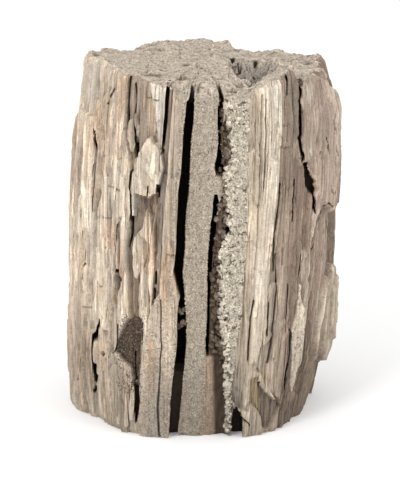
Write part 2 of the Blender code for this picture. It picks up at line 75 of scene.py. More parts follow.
# Plates, ridges and hollows: level above the trunk, then rows of (height, left edge, right edge)
RELIEF = {
    "outer left slab": (3.5, (-12, -222, -160), (32, -228, -154), (86, -230, -146), (129, -228, -140),
        (171, -222, -133), (198, -215, -126), (250, -205, -120), (290, -196, -122), (302, -180, -133)),
    "middle slab": (2.5, (95, -112, -109), (128, -121, -97), (150, -122, -90), (206, -122, -88),
        (230, -118, -78), (244, -113, -74), (280, -114, -76), (304, -115, -80), (356, -119, -88)),
    "upper grey hollow": (-4, (260, -77, -74), (272, -79, -68), (286, -82, -56), (290, -83, -47),
        (302, -85, -49), (320, -87, -53), (356, -90, -54)),
    "upper lens": (2, (278, -77, -74), (288, -80, -71), (298, -81, -69), (307, -79, -71), (312, -75, -73)),
    "ridge's left face": (-3, (130, -52, -46), (178, -50, -41), (207, -49, -38), (248, -45, -35),
        (285, -42, -33), (321, -40, -32), (338, -39, -33)),
    "cream splinter": (3, (284, -43, -41), (295, -46, -41), (317, -50, -39), (337, -55, -38),
        (356, -60, -38)),
    "lower grey hollow": (-5, (100, -76, -72), (120, -78, -70), (146, -79, -66), (170, -80, -60),
        (187, -80, -55), (213, -77, -50), (230, -76, -47), (242, -68, -46), (247, -52, -47)),
    "pale splinter": (1.5, (155, -71, -67), (165, -73, -62), (180, -73, -57), (194, -71, -53),
        (206, -62, -52), (219, -60, -54), (223, -58, -56)),
    "pale strip": (2.5, (216, -74, -72), (232, -75, -70), (262, -74, -70), (270, -73, -71)),
    "bright plate": (5, (236, -56, -54), (239, -67, -46), (248, -69, -44), (265, -69, -40), (278, -66, -42),
        (284, -62, -45), (291, -58, -54)),
    "brown nick": (-6, (139, -95, -91), (150, -97, -86), (158, -92, -88)),
    "low left lens": (3, (33, -138, -134), (43, -142, -130), (60, -144, -125), (76, -140, -125),
        (89, -133, -129)),
    "low middle lens": (3, (53, -114, -111), (62, -118, -105), (78, -119, -104), (93, -115, -112)),
    "grainy hollow": (-3, (36, -74, -70), (48, -78, -67), (60, -85, -66), (73, -98, -64), (86, -97, -64),
        (100, -88, -62), (111, -80, -62), (116, -70, -67)),
    "dark nick": (-9, (64, -119, -115), (70, -117, -108), (74, -120, -117)),
    "foot slab": (2, (-12, -113, -83), (22, -115, -82), (38, -113, -76), (51, -111, -73), (64, -109, -77),
        (72, -104, -90)),
    "foot splinter": (4, (9, -76, -73), (20, -77, -69), (35, -75, -68), (48, -72, -69)),
    "pink ridge": (6, (-12, -66, -33), (18, -65, -32), (47, -61, -29), (77, -58, -26), (116, -54, -24),
        (131, -49, -24), (146, -42, -26), (180, -41, -26), (209, -39, -24), (246, -36, -21),
        (285, -34, -19), (309, -33, -17), (333, -31, -17), (339, -27, -22)),
    "sandy slab": (-4, (-12, -27, 1), (58, -22, 2), (87, -19, 2), (115, -18, 3), (132, -20, 3),
        (160, -23, 4), (208, -20, 7), (235, -17, 26), (262, -15, 26), (290, -13, 18), (326, -10, 18),
        (356, -15, 20)),
    "smooth face": (-5.5, (-12, -4, 16), (50, -2, 15), (81, 0, 15), (92, 2, 8)),
    "upper fissure wall": (-10, (259, 24, 28), (262, 23, 30), (272, 21, 33), (282, 18, 32), (292, 17, 32),
        (299, 18, 33), (309, 21, 30), (316, 24, 27)),
    "lower fissure wall": (-9, (79, 4, 19), (103, 4, 20), (130, 4, 20), (157, 6, 20), (172, 9, 20),
        (184, 10, 20), (194, 12, 23), (209, 13, 27), (218, 14, 28), (229, 16, 27), (236, 18, 24)),
    "crust band": (1.5, (-12, 23.5, 28), (29, 24.5, 28), (52, 23.5, 29), (94, 22, 33), (122, 18, 39),
        (146, 19, 39), (184, 18, 42), (205, 26, 43), (235, 25, 43), (261, 22, 43), (274, 30, 44),
        (301, 30, 45), (311, 27, 46), (326, 22, 48), (356, 21, 47)),
    "cream band": (2.5, (72, 47, 54), (105, 48, 62), (145, 51, 63), (185, 54, 69), (234, 57, 75),
        (282, 60, 81), (318, 62, 84), (356, 63, 86)),
    "dark channel": (0.5, (261, 103, 107), (275, 98, 107), (295, 94, 106), (307, 92, 106), (331, 94, 109),
        (356, 97, 114)),
    "right hollow": (-4, (50, 150, 178), (76, 136, 182), (108, 133, 186), (138, 131, 190), (158, 132, 190),
        (179, 133, 188), (194, 136, 184), (202, 146, 176), (211, 156, 160)),
    "curled tongue": (3, (196, 121, 124), (207, 120, 131), (219, 125, 144), (232, 127, 134),
        (248, 124, 126)),
    "right slab": (4.5, (206, 157, 205), (214, 146, 215), (226, 130, 222), (238, 124, 228), (248, 118, 232),
        (259, 110, 236), (269, 104, 238), (280, 103, 238), (295, 101.5, 236), (306, 102.5, 226),
        (312, 103, 208), (324, 105.5, 181), (336, 108.5, 155), (348, 118, 135)),
    "right bulge": (3, (24, 178, 196), (50, 170, 208), (78, 166, 218), (104, 167, 222), (122, 171, 216),
        (136, 178, 202), (142, 184, 192)),
    "right bulge's crown": (6.5, (66, 188, 198), (84, 178, 210), (106, 178, 214), (120, 184, 206),
        (128, 190, 198)),
    "light ridge": (1.5, (53, 116, 121), (77, 116, 120), (101, 119, 122.5), (132, 120, 123),
        (162, 119, 123), (194, 121, 124)),
    "second light ridge": (1.5, (55, 147, 151), (90, 154, 158), (135, 163, 167)),
    "sandy splinter": (1.5, (30, 105, 107), (43, 100, 110), (57, 99, 112), (72, 98, 114), (83, 97, 119),
        (92, 95, 120), (101, 98, 120), (112, 102, 116), (125, 104, 110), (139, 106, 108)),
    "hollow under the ledge": (-5, (2, 52, 72), (20, 50, 86), (27, 50, 83), (34, 48, 75), (40, 48, 68),
        (49, 49, 60)),
    "slanted ledge": (2, (30, 74, 77), (38, 66, 71), (44, 61, 68), (49, 57, 64), (56, 42, 60), (63, 43, 52),
        (69, 43, 45)),
    "ochre strip": (0, (18, 49, 58), (53, 48, 57)),
    "front toe": (5, (-12, 40, 62), (2, 36, 60), (8, 37, 60), (15, 39, 59), (22, 44, 54), (25, 46, 51)),
    "toe splinter": (5, (15, 42, 49), (21, 33, 47), (25, 30, 37), (30, 28, 30)),
    "arched notch": (-6, (-12, 160, 215), (28, 160, 222), (38, 155, 205), (50, 148, 160)),
}

# Deep cracks: floor level and darkness of the painted shade in them, then rows of (height, left lip, right
# lip)
CRACKS = {
    "left crack": (-38, 1.0, (60, -28.8, -20.8), (88, -26, -18), (116, -25, -18), (136, -24, -19),
        (146, -26, -20), (161, -29, -22), (180, -27, -20), (210, -25, -19), (245, -23, -15),
        (269, -21, -14), (289, -20, -13), (308, -19, -11), (328, -17, -10)),
    "left crack's head": (-16, 0.9, (325, -17, -10), (334, -15, -11), (344, -14, -11)),
    "left crack's foot": (-13, 0.8, (-12, -35, -28), (29, -33, -24), (66, -28.4, -20.4)),
    "upper fissure": (-36, 1.0, (259, 13, 22), (262, 12, 23), (268, 12, 23), (276, 14, 20),
        (286, 15.5, 18.5), (300, 15.5, 19.5), (308, 15, 20), (323, 16, 21)),
    "fissure's head": (-22, 0.9, (320, 16, 21), (335, 17.5, 21.5), (342, 19, 21)),
    "lower fissure": (-36, 1.0, (79, 1.5, 5), (92, 1.5, 5.5), (107, 3, 6.5), (135, 3.5, 6.5), (150, 4, 8),
        (160, 4, 9), (172, 4.5, 8.5), (184, 5, 10), (194, 6, 12.5), (209, 7, 13), (221, 9, 14),
        (231, 9.5, 16), (236, 11, 14)),
    "fissure's dark side": (-22, 0.9, (199, 23.5, 26.5), (215, 24, 28.5), (229, 23.5, 28)),
    "fissure's foot": (-10, 0.62, (-12, 12, 25), (34, 11, 25), (55, 10, 24), (88, 9, 21)),
    "foot notch": (-15, 0.95, (-12, 29, 39), (12, 30, 40), (20, 32, 38), (24, 32, 34)),
    "gap under the curl": (-12, 0.8, (211, 123, 125), (219, 122, 125.5), (226, 120.5, 125.5),
        (233, 117.5, 124.5), (244, 114, 120.5), (254, 111, 115.5), (261, 108, 110)),
    "left slit": (-22, 0.9, (214, -127, -126), (237, -128.3, -124.2), (252, -129.2, -123.2),
        (267, -130.3, -122.8), (280, -131, -123.6), (288, -133.8, -129), (295, -137, -136)),
    "top slit": (-22, 0.8, (280, -42.5, -41.7), (300, -41, -39.8), (322, -40, -38.4), (348, -38.4, -36.4)),
    "right slit": (-16, 0.9, (266, 105, 105.8), (280, 102.8, 103.6), (295, 101.2, 102.1),
        (306, 102.1, 103.2), (312, 102.7, 103.8), (324, 105, 106.2), (336, 107.8, 109), (348, 117.5, 118.3)),
    "foot slit": (-18, 0.75, (22, -142, -140), (34, -137, -133), (53, -129.8, -126.4), (69, -130.8, -127.2),
        (84, -128.5, -125.5), (99, -124.5, -123.5)),
    "splinter slit": (-13, 0.75, (8, -71, -69), (28, -69.6, -66.4), (42, -69.4, -67)),
}

# Lumps on the fissure's walls and floor: (girth, height, radius, floor level)
FISSURE_LUMPS = (
    (29, 300, 5, -8), (24, 292, 5, -9), (28, 280, 6, -8), (22, 284, 4, -10), (29, 268, 6, -7),
    (24, 272, 4, -9), (22, 302, 4, -9), (26, 264, 4, -8),
    (19, 226, 5, -9), (16, 214, 5, -10), (19, 205, 5, -9), (22, 218, 5, -8), (15, 198, 4, -9),
    (17, 190, 4, -8), (13, 182, 4, -9), (18, 178, 5, -7),
    (14, 165, 4, -8), (10, 158, 4, -9), (17, 152, 5, -7), (11, 146, 4, -8), (16, 138, 5, -7),
    (10, 130, 4, -8), (15, 122, 5, -7), (11, 114, 5, -8), (17, 106, 5, -6), (11, 98, 4, -7),
    (16, 90, 5, -6), (10, 84, 4, -7), (-23, 121, 4, -5), (-21, 114, 4, -4), (-24, 108, 4, -6),
)

# Splinters that cover the rest of the bark, drawn at random with a fixed seed
SPLINTERS = {
    "seed": 19, "count": 190, "turns": 7.0, "places": (0.2, 0.8), "middles": (-20.0, 370.0),
    "widths": (9.0, 46.0), "lengths": (90.0, 420.0), "levels": (-6.5, 5.0),
    "end slopes": (0.12, 0.8), "lean": 0.05,
}
END_SLANT = 1.6
FRONT_REACH = 150.0
FRONT_CALM = 0.25
CALM_WIDTH = 30.0

# The broken top as spot heights: (x, y, height)
SPOT_HEIGHTS = (
    (-120, 0, 355), (-105, -54, 358), (-88, -79, 356), (-74, -92, 349), (-55, -104, 348),
    (-38, -110, 344), (-25, -118, 335), (-25, -98, 345), (-5, -118, 332), (0, -92, 342),
    (20, -118, 332), (22, -85, 342), (40, -112, 332), (44, -84, 338), (52, -106, 341),
    (62, -100, 347), (73, -92, 348),
    (83, -84, 355), (92, -74, 340), (104, -58, 346), (112, -34, 342),
    (118, 10, 352), (104, 52, 342), (86, 80, 341), (60, 98, 336), (34, 106, 333), (24, 106, 346),
    (-6, 114, 347), (-41, 106, 346), (-70, 88, 341), (-84, 76, 341), (-108, 44, 349),
    (-60, -40, 349), (-60, 30, 345), (-10, -40, 346), (-10, 40, 346), (10, 80, 346),
    (14, 0, 343), (44, 44, 338), (86, 20, 340), (88, -30, 344), (56, 64, 335),
)
SPOT_SHARPNESS = 3.0
SPOT_SOFTNESS = 9.0

# The sunken part of the top, in plan: depth, then rows of (y, left x, right x)
TOP_HOLLOW = (25, (-76, 47, 53), (-64, 43, 57), (-48, 36, 61), (-28, 31, 65), (-8, 27, 70),
              (8, 25, 73), (23, 29, 66))
HOLLOW_EDGE = 13.0
HOLLOW_WAVES = ((3.0, 9.0, 9.0, 10), (3.0, 9.0, 9.0, 11), (3.0, 3.0, 3.0, 16))
HOLLOW_LUMPS = 6.0
HOLLOW_LUMP_SEED = 54

# Pits in the top: (x, y, half width, half depth, sink)
TOP_PITS = (
    (76, -8, 7, 8, 6), (84, -40, 5, 9, 6), (-100, 20, 7, 5, 6), (-77, 8, 8, 4, 5),
    (-38, 20, 10, 4, 5), (-31, 4, 8, 3, 4), (-15, -20, 7, 4, 4), (-38, -50, 7, 4, 5),
    (-17, -78, 8, 5, 5), (-8, 56, 12, 4, 5), (4, 30, 9, 4, 5), (-60, -72, 9, 4, 4),
    (84, 50, 8, 5, 5), (102, -6, 6, 5, 7), (14, -66, 7, 4, 5), (-88, -30, 9, 4, 4),
    (-50, 70, 10, 5, 5), (30, 84, 6, 8, 5), (-105, -8, 5, 4, 6),
)
PIT_RIM = 1.35
PIT_SLOPE = 0.9
PIT_WAVES = (0.7, 5.0, 3.2, 55)
TOP_WAVES = ((2.2, 18.0, 11.0, 7), (1.1, 8.0, 4.5, 8))
FINE_TOP_WAVES = ((0.8, 9.0, 4.5, 50), (0.6, 2.8, 2.0, 51))
CHIP_WAVES = (1.0, 16.0, 6.0, 53)
CHIP_DEPTH = 2.0
CHIP_SHARPNESS = 0.12
RIM_WEAR = 4.0
RIM_WEAR_DEPTH = 6.0
RIM_CLEARANCE = 1.5
FOOT_WEAR = 3.6
FOOT_WEAR_HEIGHT = 5.0

# Fine slits in the bark: depth, then rows of (height, girth, half width)
SLITS = {
    "outer groove": (5, (167, -159, 0.7), (190, -157, 1.1), (216, -153, 1.0), (245, -153, 1.0),
        (266, -157, 0.6)),
    "second groove": (5, (130, -152, 0.6), (156, -144, 0.9), (182, -143, 0.4)),
    "beside the middle slab": (9, (181, -79, 0.5), (196, -76, 0.8), (216, -77, 1.0), (242, -77, 1.2),
        (265, -75, 1.0), (278, -73, 1.0), (295, -71, 0.8), (311, -74, 0.5)),
    "pink lens edge": (8, (145, -93, 0.8), (171, -92, 1.0), (191, -90, 0.9), (205, -89, 0.5)),
    "hairline": (3, (194, -91, 0.4), (214, -92, 0.5), (240, -93, 0.4)),
    "recess edge": (8, (296, -83, 0.6), (313, -85, 0.7), (329, -86, 1.0), (349, -86, 1.0)),
    "upper lens edge": (6, (311, -76, 0.7), (325, -75, 0.8), (343, -78, 0.5)),
    "leaning notch": (4, (319, -110, 0.5), (327, -107, 0.9), (336, -104, 0.4)),
    "low rough line": (7, (27, -168, 0.8), (42, -160, 1.2), (62, -156, 1.0), (84, -152, 0.5)),
    "low middle crack": (6, (72, -99, 0.6), (85, -96, 0.8), (102, -95, 0.5)),
    "foot slit a": (10, (22, -115, 1.1), (37, -115, 0.9)),
    "foot slit b": (6, (92, -115, 0.8), (103, -116, 0.5)),
    "hollow slit": (9, (43, -69, 1.3), (59, -72, 1.0), (79, -72, 0.5)),
    "plate slit": (9, (236, -55, 0.7), (247, -55, 0.8)),
    "plate's right slit": (10, (234, -46, 0.8), (248, -45, 0.9)),
    "hole a": (9, (150, -49, 1.1), (162, -49, 0.7)),
    "hole b": (8, (130, -50, 0.8), (146, -50, 0.8)),
    "ridge edge slit": (6, (87, -62, 0.8), (115, -62, 0.6)),
    "ridge seam": (4, (-5, -43, 1.2), (23, -45, 1.0), (49, -43, 0.8), (90, -40, 0.8), (137, -41, 0.5)),
    "right rim slit": (9, (330, 91, 0.6), (349, 94, 0.9)),
    "beige line a": (2, (199, 54, 0.3), (234, 55, 0.4), (270, 57, 0.5), (311, 60, 0.5), (334, 62, 0.2)),
    "beige line b": (2.5, (243, 59, 0.3), (269, 61, 0.5), (330, 65, 0.2)),
    "leaning line a": (5, (160, 72, 0.5), (183, 73, 0.8), (207, 75, 0.9), (231, 78, 0.8), (247, 80, 0.4)),
    "leaning line b": (7, (141, 105, 0.5), (154, 105, 0.9), (171, 106, 0.4)),
    "leaning line c": (7, (96, 64, 0.5), (113, 64, 0.9), (129, 65, 0.4)),
    "leaning line d": (5, (207, 93, 0.5), (228, 95, 0.8), (248, 97, 0.4)),
    "leaning line e": (6, (78, 87, 0.5), (108, 89, 0.8), (144, 90, 0.4)),
    "leaning line f": (6, (72, 45, 0.6), (104, 46, 0.8), (134, 50, 0.4)),
    "leaning line g": (6, (27, 92, 0.5), (54, 92, 0.6), (74, 96, 1.0), (97, 95, 0.4)),
    "leaning line h": (4, (66, 68, 0.5), (101, 71, 0.7), (142, 75, 0.7), (177, 75, 0.4)),
    "strip edge": (6, (18, 59, 0.5), (36, 59, 0.9), (50, 58, 0.5)),
    "toe crack": (6, (7, 47, 0.6), (12, 42, 0.9), (17, 38, 0.6)),
    "slab's inner line": (6, (256, 177, 1.2), (276, 168, 1.2), (293, 164, 1.2), (309, 171, 0.7)),
    "slab's nick a": (5, (263, 152, 0.6), (269, 149, 0.9), (281, 143, 0.5)),
    "slab's nick b": (5, (256, 130, 0.4), (260, 131, 0.8), (271, 132, 0.4)),
    "slab's nick c": (5, (218, 165, 0.5), (223, 163, 1.0), (231, 157, 0.5)),
    "under the slab": (8, (145, 186, 0.6), (164, 182, 1.0), (186, 174, 1.2), (204, 168, 1.1),
        (209, 159, 1.3), (215, 150, 0.7)),
    "tongue edge": (5, (172, 128, 0.6), (186, 133, 0.8), (203, 141, 0.8), (214, 150, 0.6)),
}
CROSS_CRACKS = (
    (-108, -86, 239), (-119, -101, 206), (-130, -114, 138), (-63, -46, 330), (-98, -80, 300),
    (-36, -25, 180), (-112, -96, 176), (-150, -138, 110),
)
CROSS_CRACK_DEPTH = 1.8
CROSS_CRACK_WAVES = (1.6, 9.0, 40.0, 14)
CROSS_CRACK_SHADE = 0.4
LUMPINESS = 2.4
LUMP_CELLS = (4.0, 35)
LUMPY_PARTS = ("grainy hollow", "upper fissure wall", "lower fissure wall")

# Thin plates of bark on top of the named ones, drawn at random with a fixed seed
PLATES = {
    "seed": 17, "count": 520, "turns": 7.0, "places": (0.1, 0.9), "middles": (-10.0, 350.0),
    "widths": (3.5, 15.0), "lengths": (30.0, 170.0), "levels": (-1.5, 1.7),
    "end slopes": (0.06, 0.5), "lean": 0.03,
}
PLATE_SHADES = (0.80, 1.16)
PLATE_WARMTH = (-0.8, 0.45)
PLATE_EDGE = 0.7
PLATE_GAP = 1.0
PLATE_LIMIT = 3.0
NEAR_SIDE = 2.0
NEAR_END = 8.0
DETAIL_ON_SAND = 0.15

# The grain of the right side leans: how much, the girths that it starts and ends at, its fade, and
# the height that it turns about
RIGHT_LEAN = 0.08
LEAN_START = 30.0
LEAN_END = 260.0
LEAN_FADE = 60.0
LEAN_MIDDLE = 180.0
LEANING_GIRTHS = (40.0, 200.0)

# Grooves that run with the grain: spacing, length, depth, seed
GROOVES = ((8.0, 110.0, 1.8, 61), (4.6, 80.0, 1.1, 62))
GROOVE_SHARPNESS = 0.2
GROOVE_PATCHES = (1.0, 14.0, 60.0)
GROOVE_REACH = (-0.35, 0.5)

# Small pits scattered on the top
SMALL_PIT_COUNT = 90
SMALL_PIT_SEED = 23
SMALL_PIT_REACH = 120.0
SMALL_PIT_WIDTHS = (2.5, 9.0)
SMALL_PIT_LENGTHS = (1.6, 3.2)
SMALL_PIT_SINKS = (1.0, 3.2)
SMALL_PIT_RIM = 1.2

# Lumps of crust: how many on the band and on the fissure's right wall, and their radii
BAND_LUMP_COUNT = 620
BAND_LUMP_RADII = (0.8, 2.9)
BAND_LUMP_HEIGHTS = (3.0, 338.0)
BAND_SPREAD = (-0.06, 0.97)
BAND_LIP_SPREAD = (-0.08, 0.25)
BAND_SPREAD_SHARE = 0.6
LIP_LUMP_SIZE = 1.15
LUMP_TAPER = 0.5
LUMP_SUNK = 0.6
BAND_LUMP_LEVEL = 1.2
WALL_LUMP_COUNT = 200
WALL_LUMP_RADII = (1.2, 3.2)
WALL_LUMP_HEIGHTS = (60.0, 332.0)
WALL_LUMP_SCATTER = (-0.5, 2.5)
WALL_LUMP_LEVEL = -1.0
WALL_DEPTH = 9.0
WALL_OVERHANG = 4.0
WALL_TOP_BROWN = 0.45
WALL_BROWNING = 0.9
LUMPS_IN_A_CLUSTER = 4
CLUSTER_SPREAD = ((-2.5, 2.5), (-4.0, 4.0), (0.4, 0.75), (-2.0, 1.0), (0.75, 1.0))
CRUST_SEED = 29
CRUST_CELLS = ((2.6, 6.5, 31), (2.0, 2.6, 33))
CRUST_SINK = 2.7
KNOB_ROUGHNESS = 0.5
KNOB_WAVE = 1.5
KNOB_SEED = 71
KNOB_SHADES = (0.72, 1.2)
# Painted shade on knobs deep in the fissure: the depth it starts at, the depth it takes, and its strongest
# share
KNOB_SHADE_DEPTHS = (6.0, 10.0)
KNOB_DARKEST = 0.5
UNEVEN_SIZES = (0.7, 1.2)
LOWEST = -3.0

# Loose-looking grains of sand stuck to the slab, the crust, the lips and the top
GRAIN_COUNT = 9200
GRAIN_RADII = (0.45, 1.0)
GRAIN_SEED = 37
GRAIN_HEIGHTS = (1.0, 344.0)
GRAIN_BAND_SPREAD = (0.0, 1.05)
GRAIN_SHADES = (0.5, 1.25)
BRIGHTEST_GRAIN = 0.85
GRAIN_SANDINESS = 0.5
BAND_BLEND = (-1.0, 2.0)
LIP_SCATTER = 1.6
FAR_LIP = 8.0
RIDGE_FOOT = (-64.0, -34.0)
GRAINY_HOLLOW = (-94.0, -64.0)
RIDGE_FOOT_HEIGHT = 0.42
HOLLOW_FOOT = 36.0
HOLLOW_HEIGHT = 0.55
GRAINS_SUNK = 0.15
DEEPEST_GRAIN = -9.0
SLOPE_FOOT = (4.0, 88.0)
STEEPEST_FOR_GRAINS = 0.6
STEEPEST_ON_SLOPE = 3.0

# What a draw from 0 to 1 must stay under, in this order, for a grain to lie on the slab's left lip,
# its right lip, the crack's far lip, the slab, the crust, the ridge's foot; the rest are in the hollow
LEFT_LIP, RIGHT_LIP, FAR_LIP_SHARE, SLAB, CRUST_SHARE, RIDGE_SHARE = 0.26, 0.38, 0.50, 0.72, 0.88, 0.95

# Splinters that stand off the bark, as thin shards along the grain
SHARD_COUNT = 1250
SHARD_SEED = 43
SHARD_STEPS = 8
SHARD_FRONT = (-215.0, -42.0)
SHARD_FRONT_SHARE = 0.5
SHARD_LENGTHS = (7.0, 30.0)
SHARD_WIDTHS = (0.6, 2.6)
SHARD_THICKNESSES = (0.5, 1.3)
SHARD_EDGES = (0.65, 1.25)
SHARD_SHADES = (0.82, 1.2)
SHARD_LEAN = 0.03
SHARD_HEIGHTS = (0.6, 341.0)
SHARD_MIDDLES = (4.0, 325.0)
SHARD_STEEPEST = 1.19
SHARD_DEEPEST = -7.5
SHARD_TAPER = 0.6
SHARD_TIP = 0.04
SHARD_WOOD = 0.7
BRIGHTEST_SHARD = 0.8

# Cross-section of a shard: places across it, and heights over the bark
SHARD_ACROSS = (-1.0, -0.55, 0.5, 1.0, 0.4, -0.4)
SHARD_RISE = (-0.3, 1.0, 0.8, -0.3, -1.6, -1.6)

# Waves of the edges, as (height, width across the grain, length along it, seed), and how soft the
# steps are
EDGE_WAVES = (0.5, 12.0, 45.0, 1)
SHORT_EDGE_WAVES = (0.45, 4.0, 11.0, 2)
END_WAVES = (1.5, 6.0, 30.0, 3)
SPLINTER_JAGS = (8.0, 3.0, 60.0, 15)
STEP_WIDTH = 0.8
SOFT_EDGES = {"grainy hollow": 6.0, "right hollow": 6.0, "smooth face": 7.0, "fissure's foot": 13.0,
              "right slab": 2.4}
CRACK_STEP_WIDTH = 0.8
ENDS_SLOPE = 0.5
SLIT_SOFTNESS = 0.35
# Slits this deep are painted black as shade; shallower ones get less
SLIT_DEPTH_FOR_BLACK = 10.0

# How sandy the named parts are, and the foot of the ridge
SANDY_PARTS = {"sandy slab": 1.0, "smooth face": 0.8, "grainy hollow": 0.8}
CRUSTY_SPLINTER = 0.5
SANDY_RIDGE = 0.7
SANDY_RIDGE_HEIGHT = 150.0
SANDY_RIDGE_FADE = 60.0

# Waves of the bark itself, which run with the grain
SWELLS = (2.0, 26.0, 140.0, 4)
RIBS = (1.2, 8.0, 90.0, 5)
FIBRES = (0.8, 4.5, 60.0, 6)
FINE_FIBRES = (0.45, 2.2, 60.0, 21)
SAND_BUMPS = (0.7, 3.0, 4.0, 25)
CRACK_BUMPS = (1.5, 3.0, 5.0, 23)
RIM_WAVES = (0.5, 9.0, 1.0, 9)

# Colours of the fossil wood and its crusts, as linear red, green and blue
CREAM = (0.645, 0.55, 0.435)
PALE = (0.64, 0.57, 0.47)
BEIGE = (0.55, 0.46, 0.355)
ORANGE = (0.55, 0.38, 0.25)
GREY_BROWN = (0.30, 0.24, 0.185)
PURPLE_BROWN = (0.40, 0.31, 0.243)
RIGHT_BROWN = (0.272, 0.203, 0.155)
SAND = (0.405, 0.347, 0.275)
CRUST = (0.51, 0.455, 0.37)
TOP_STONE = (0.50, 0.425, 0.345)
HOLLOW_BROWN = (0.42, 0.34, 0.267)
# Painted shade, for the dark lines under the bright plate and beside the ridge, and for the grains in the
# grainy hollow
SHADE = (0.17, 0.13, 0.10)
FACE_BROWN = (0.42, 0.315, 0.225)
# Umber and black are used for painted shade in cracks, slits, pits and deep places; umber also colours the
# grainy hollow and the dark nick
UMBER = (0.06, 0.04, 0.026)
BROWN = (0.10, 0.068, 0.046)
BLACK = (0.012, 0.009, 0.007)
WHITE = (0.72, 0.66, 0.56)
YELLOW = (0.66, 0.53, 0.36)
RIDGE = (0.57, 0.47, 0.37)
PINK = (0.60, 0.41, 0.30)
OCHRE = (0.46, 0.35, 0.22)
GREY = (0.36, 0.32, 0.275)
MAUVE = (0.50, 0.39, 0.32)
WALL_BROWN = (0.12, 0.083, 0.056)
HOLLOW_GREY = (0.43, 0.375, 0.32)
# Painted shade that darkens the stone towards the foot: its strength at the floor, and the height it fades
# out by
FOOT_SHADE = 0.30
FOOT_SHADE_HEIGHT = 120.0

# The grainy hollow's dark umber is partly its own brown and partly painted shade; the hollow under the ledge
# is painted grey-brown as shade
TINTS = {
    "outer left slab": CREAM, "middle slab": CREAM, "upper grey hollow": HOLLOW_BROWN, "upper lens": BEIGE,
    "ridge's left face": GREY_BROWN, "cream splinter": PALE, "lower grey hollow": GREY_BROWN,
    "pale splinter": CREAM, "bright plate": CREAM, "pale strip": PALE, "brown nick": GREY_BROWN,
    "low left lens": CREAM, "low middle lens": BEIGE, "grainy hollow": UMBER, "dark nick": UMBER,
    "foot slab": BEIGE, "foot splinter": CREAM, "pink ridge": RIDGE, "sandy slab": SAND,
    "smooth face": FACE_BROWN, "crust band": CRUST, "cream band": CREAM, "dark channel": GREY_BROWN,
    "right hollow": PURPLE_BROWN, "curled tongue": MAUVE, "right slab": PURPLE_BROWN, "right bulge": BEIGE,
    "right bulge's crown": BEIGE, "sandy splinter": CREAM, "slanted ledge": BEIGE,
    "hollow under the ledge": GREY_BROWN, "front toe": BEIGE, "toe splinter": CREAM,
    "arched notch": GREY_BROWN, "upper fissure wall": WALL_BROWN, "lower fissure wall": WALL_BROWN,
    "light ridge": BEIGE, "second light ridge": BEIGE, "ochre strip": OCHRE,
}

# Soft stains, and soft patches of painted shade where the colour is SHADE: (girth, height, half width, half
# length, colour, strength)
STAINS = (
    (-95, 328, 5, 20, PINK, 0.6), (-57, 320, 3, 30, YELLOW, 0.6), (-47, 323, 5, 28, WHITE, 0.6),
    (-81, 324, 2, 7, WHITE, 0.8), (-42, 253, 4, 88, GREY, 0.6), (-54, 268, 6, 12, ORANGE, 0.3),
    (-58, 258, 9, 20, PALE, 0.6), (-102, 192, 14, 18, PINK, 0.6), (-85, 169, 5, 22, PINK, 0.8),
    (-119, 132, 5, 10, ORANGE, 0.7), (-96, 132, 4, 10, ORANGE, 0.7),
    (-37, 157, 5, 28, ORANGE, 0.75), (-140, 58, 8, 30, PINK, 0.55), (-116, 73, 7, 20, PINK, 0.55),
    (-51, 63, 5, 34, ORANGE, 0.95), (-33, 54, 4, 50, WHITE, 0.35), (-93, 34, 16, 34, GREY_BROWN, 0.3),
    (-165, 62, 46, 62, GREY_BROWN, 0.52), (178, 300, 16, 50, CREAM, 0.6),
    (-58, 226, 9, 12, SHADE, 0.7), (-50, 198, 3.5, 30, SHADE, 0.6), (-50, 148, 3.5, 22, SHADE, 0.5),
    (159, 24, 20, 16, OCHRE, 0.6), (64, 53, 4, 9, OCHRE, 0.7), (120, 330, 9, 10, WHITE, 0.5),
    (114, 270, 4, 8, WHITE, 0.7), (78, 323, 6, 28, WHITE, 0.8), (71, 266, 5, 38, WHITE, 0.5),
    (54, 164, 6, 36, WHITE, 0.4), (215, 276, 29, 36, CREAM, 0.85), (-150, 331, 22, 24, PALE, 0.9),
    (-176, 251, 22, 44, GREY_BROWN, 0.35), (-139, 189, 9, 54, WHITE, 0.45),
    (-51, 158, 5, 22, WHITE, 0.45), (-71, 242, 3, 22, PALE, 0.6), (111, 163, 4, 22, PALE, 0.5),
    (150, 299, 34, 40, MAUVE, 0.6), (149, 237, 24, 24, MAUVE, 0.7),
    (94, 297, 7, 50, GREY_BROWN, 0.6), (160, 150, 24, 40, PURPLE_BROWN, 0.4), (-46, 22, 13, 62, GREY, 0.5),
    (34, 326, 13, 20, SAND, 0.5), (28, 30, 9, 66, GREY, 0.75), (-150, 60, 6, 50, GREY_BROWN, 0.3),
    (118, 110, 5, 60, PALE, 0.4), (158, 95, 6, 40, PALE, 0.4),
)

STAIN_WAVES = (0.45, 3.0, 14.0, 44)
STAIN_RIM = 1.3
STAIN_SLOPE = 1.1
STREAK_WAVES = ((1.0, 7.0, 70.0, 41), (0.5, 2.5, 40.0, 42))
STREAK_WARMTH = 0.25
PIT_SHADE = 0.4
SINK_SHADE = 0.6

# Where paint sets in, as the value that it starts at and the width that it takes
TOP_PAINT = (0.3, 0.5)
HOLLOW_PAINT = (0.05, 0.2)
SINK_PAINT = (0.6, 3.0)
CRACK_PAINT = (0.2, 0.6)
STREAK_PAINT = (0.25, 0.6)

# Sides of the log by girth, in the same way; the cream and warm sides count to the left
BROWN_SIDE = (58.0, 40.0)
CREAM_SIDE = (-60.0, 60.0)
WARM_SIDE = (-30.0, 60.0)
WARM_PLATES = (-20.0, 50.0)

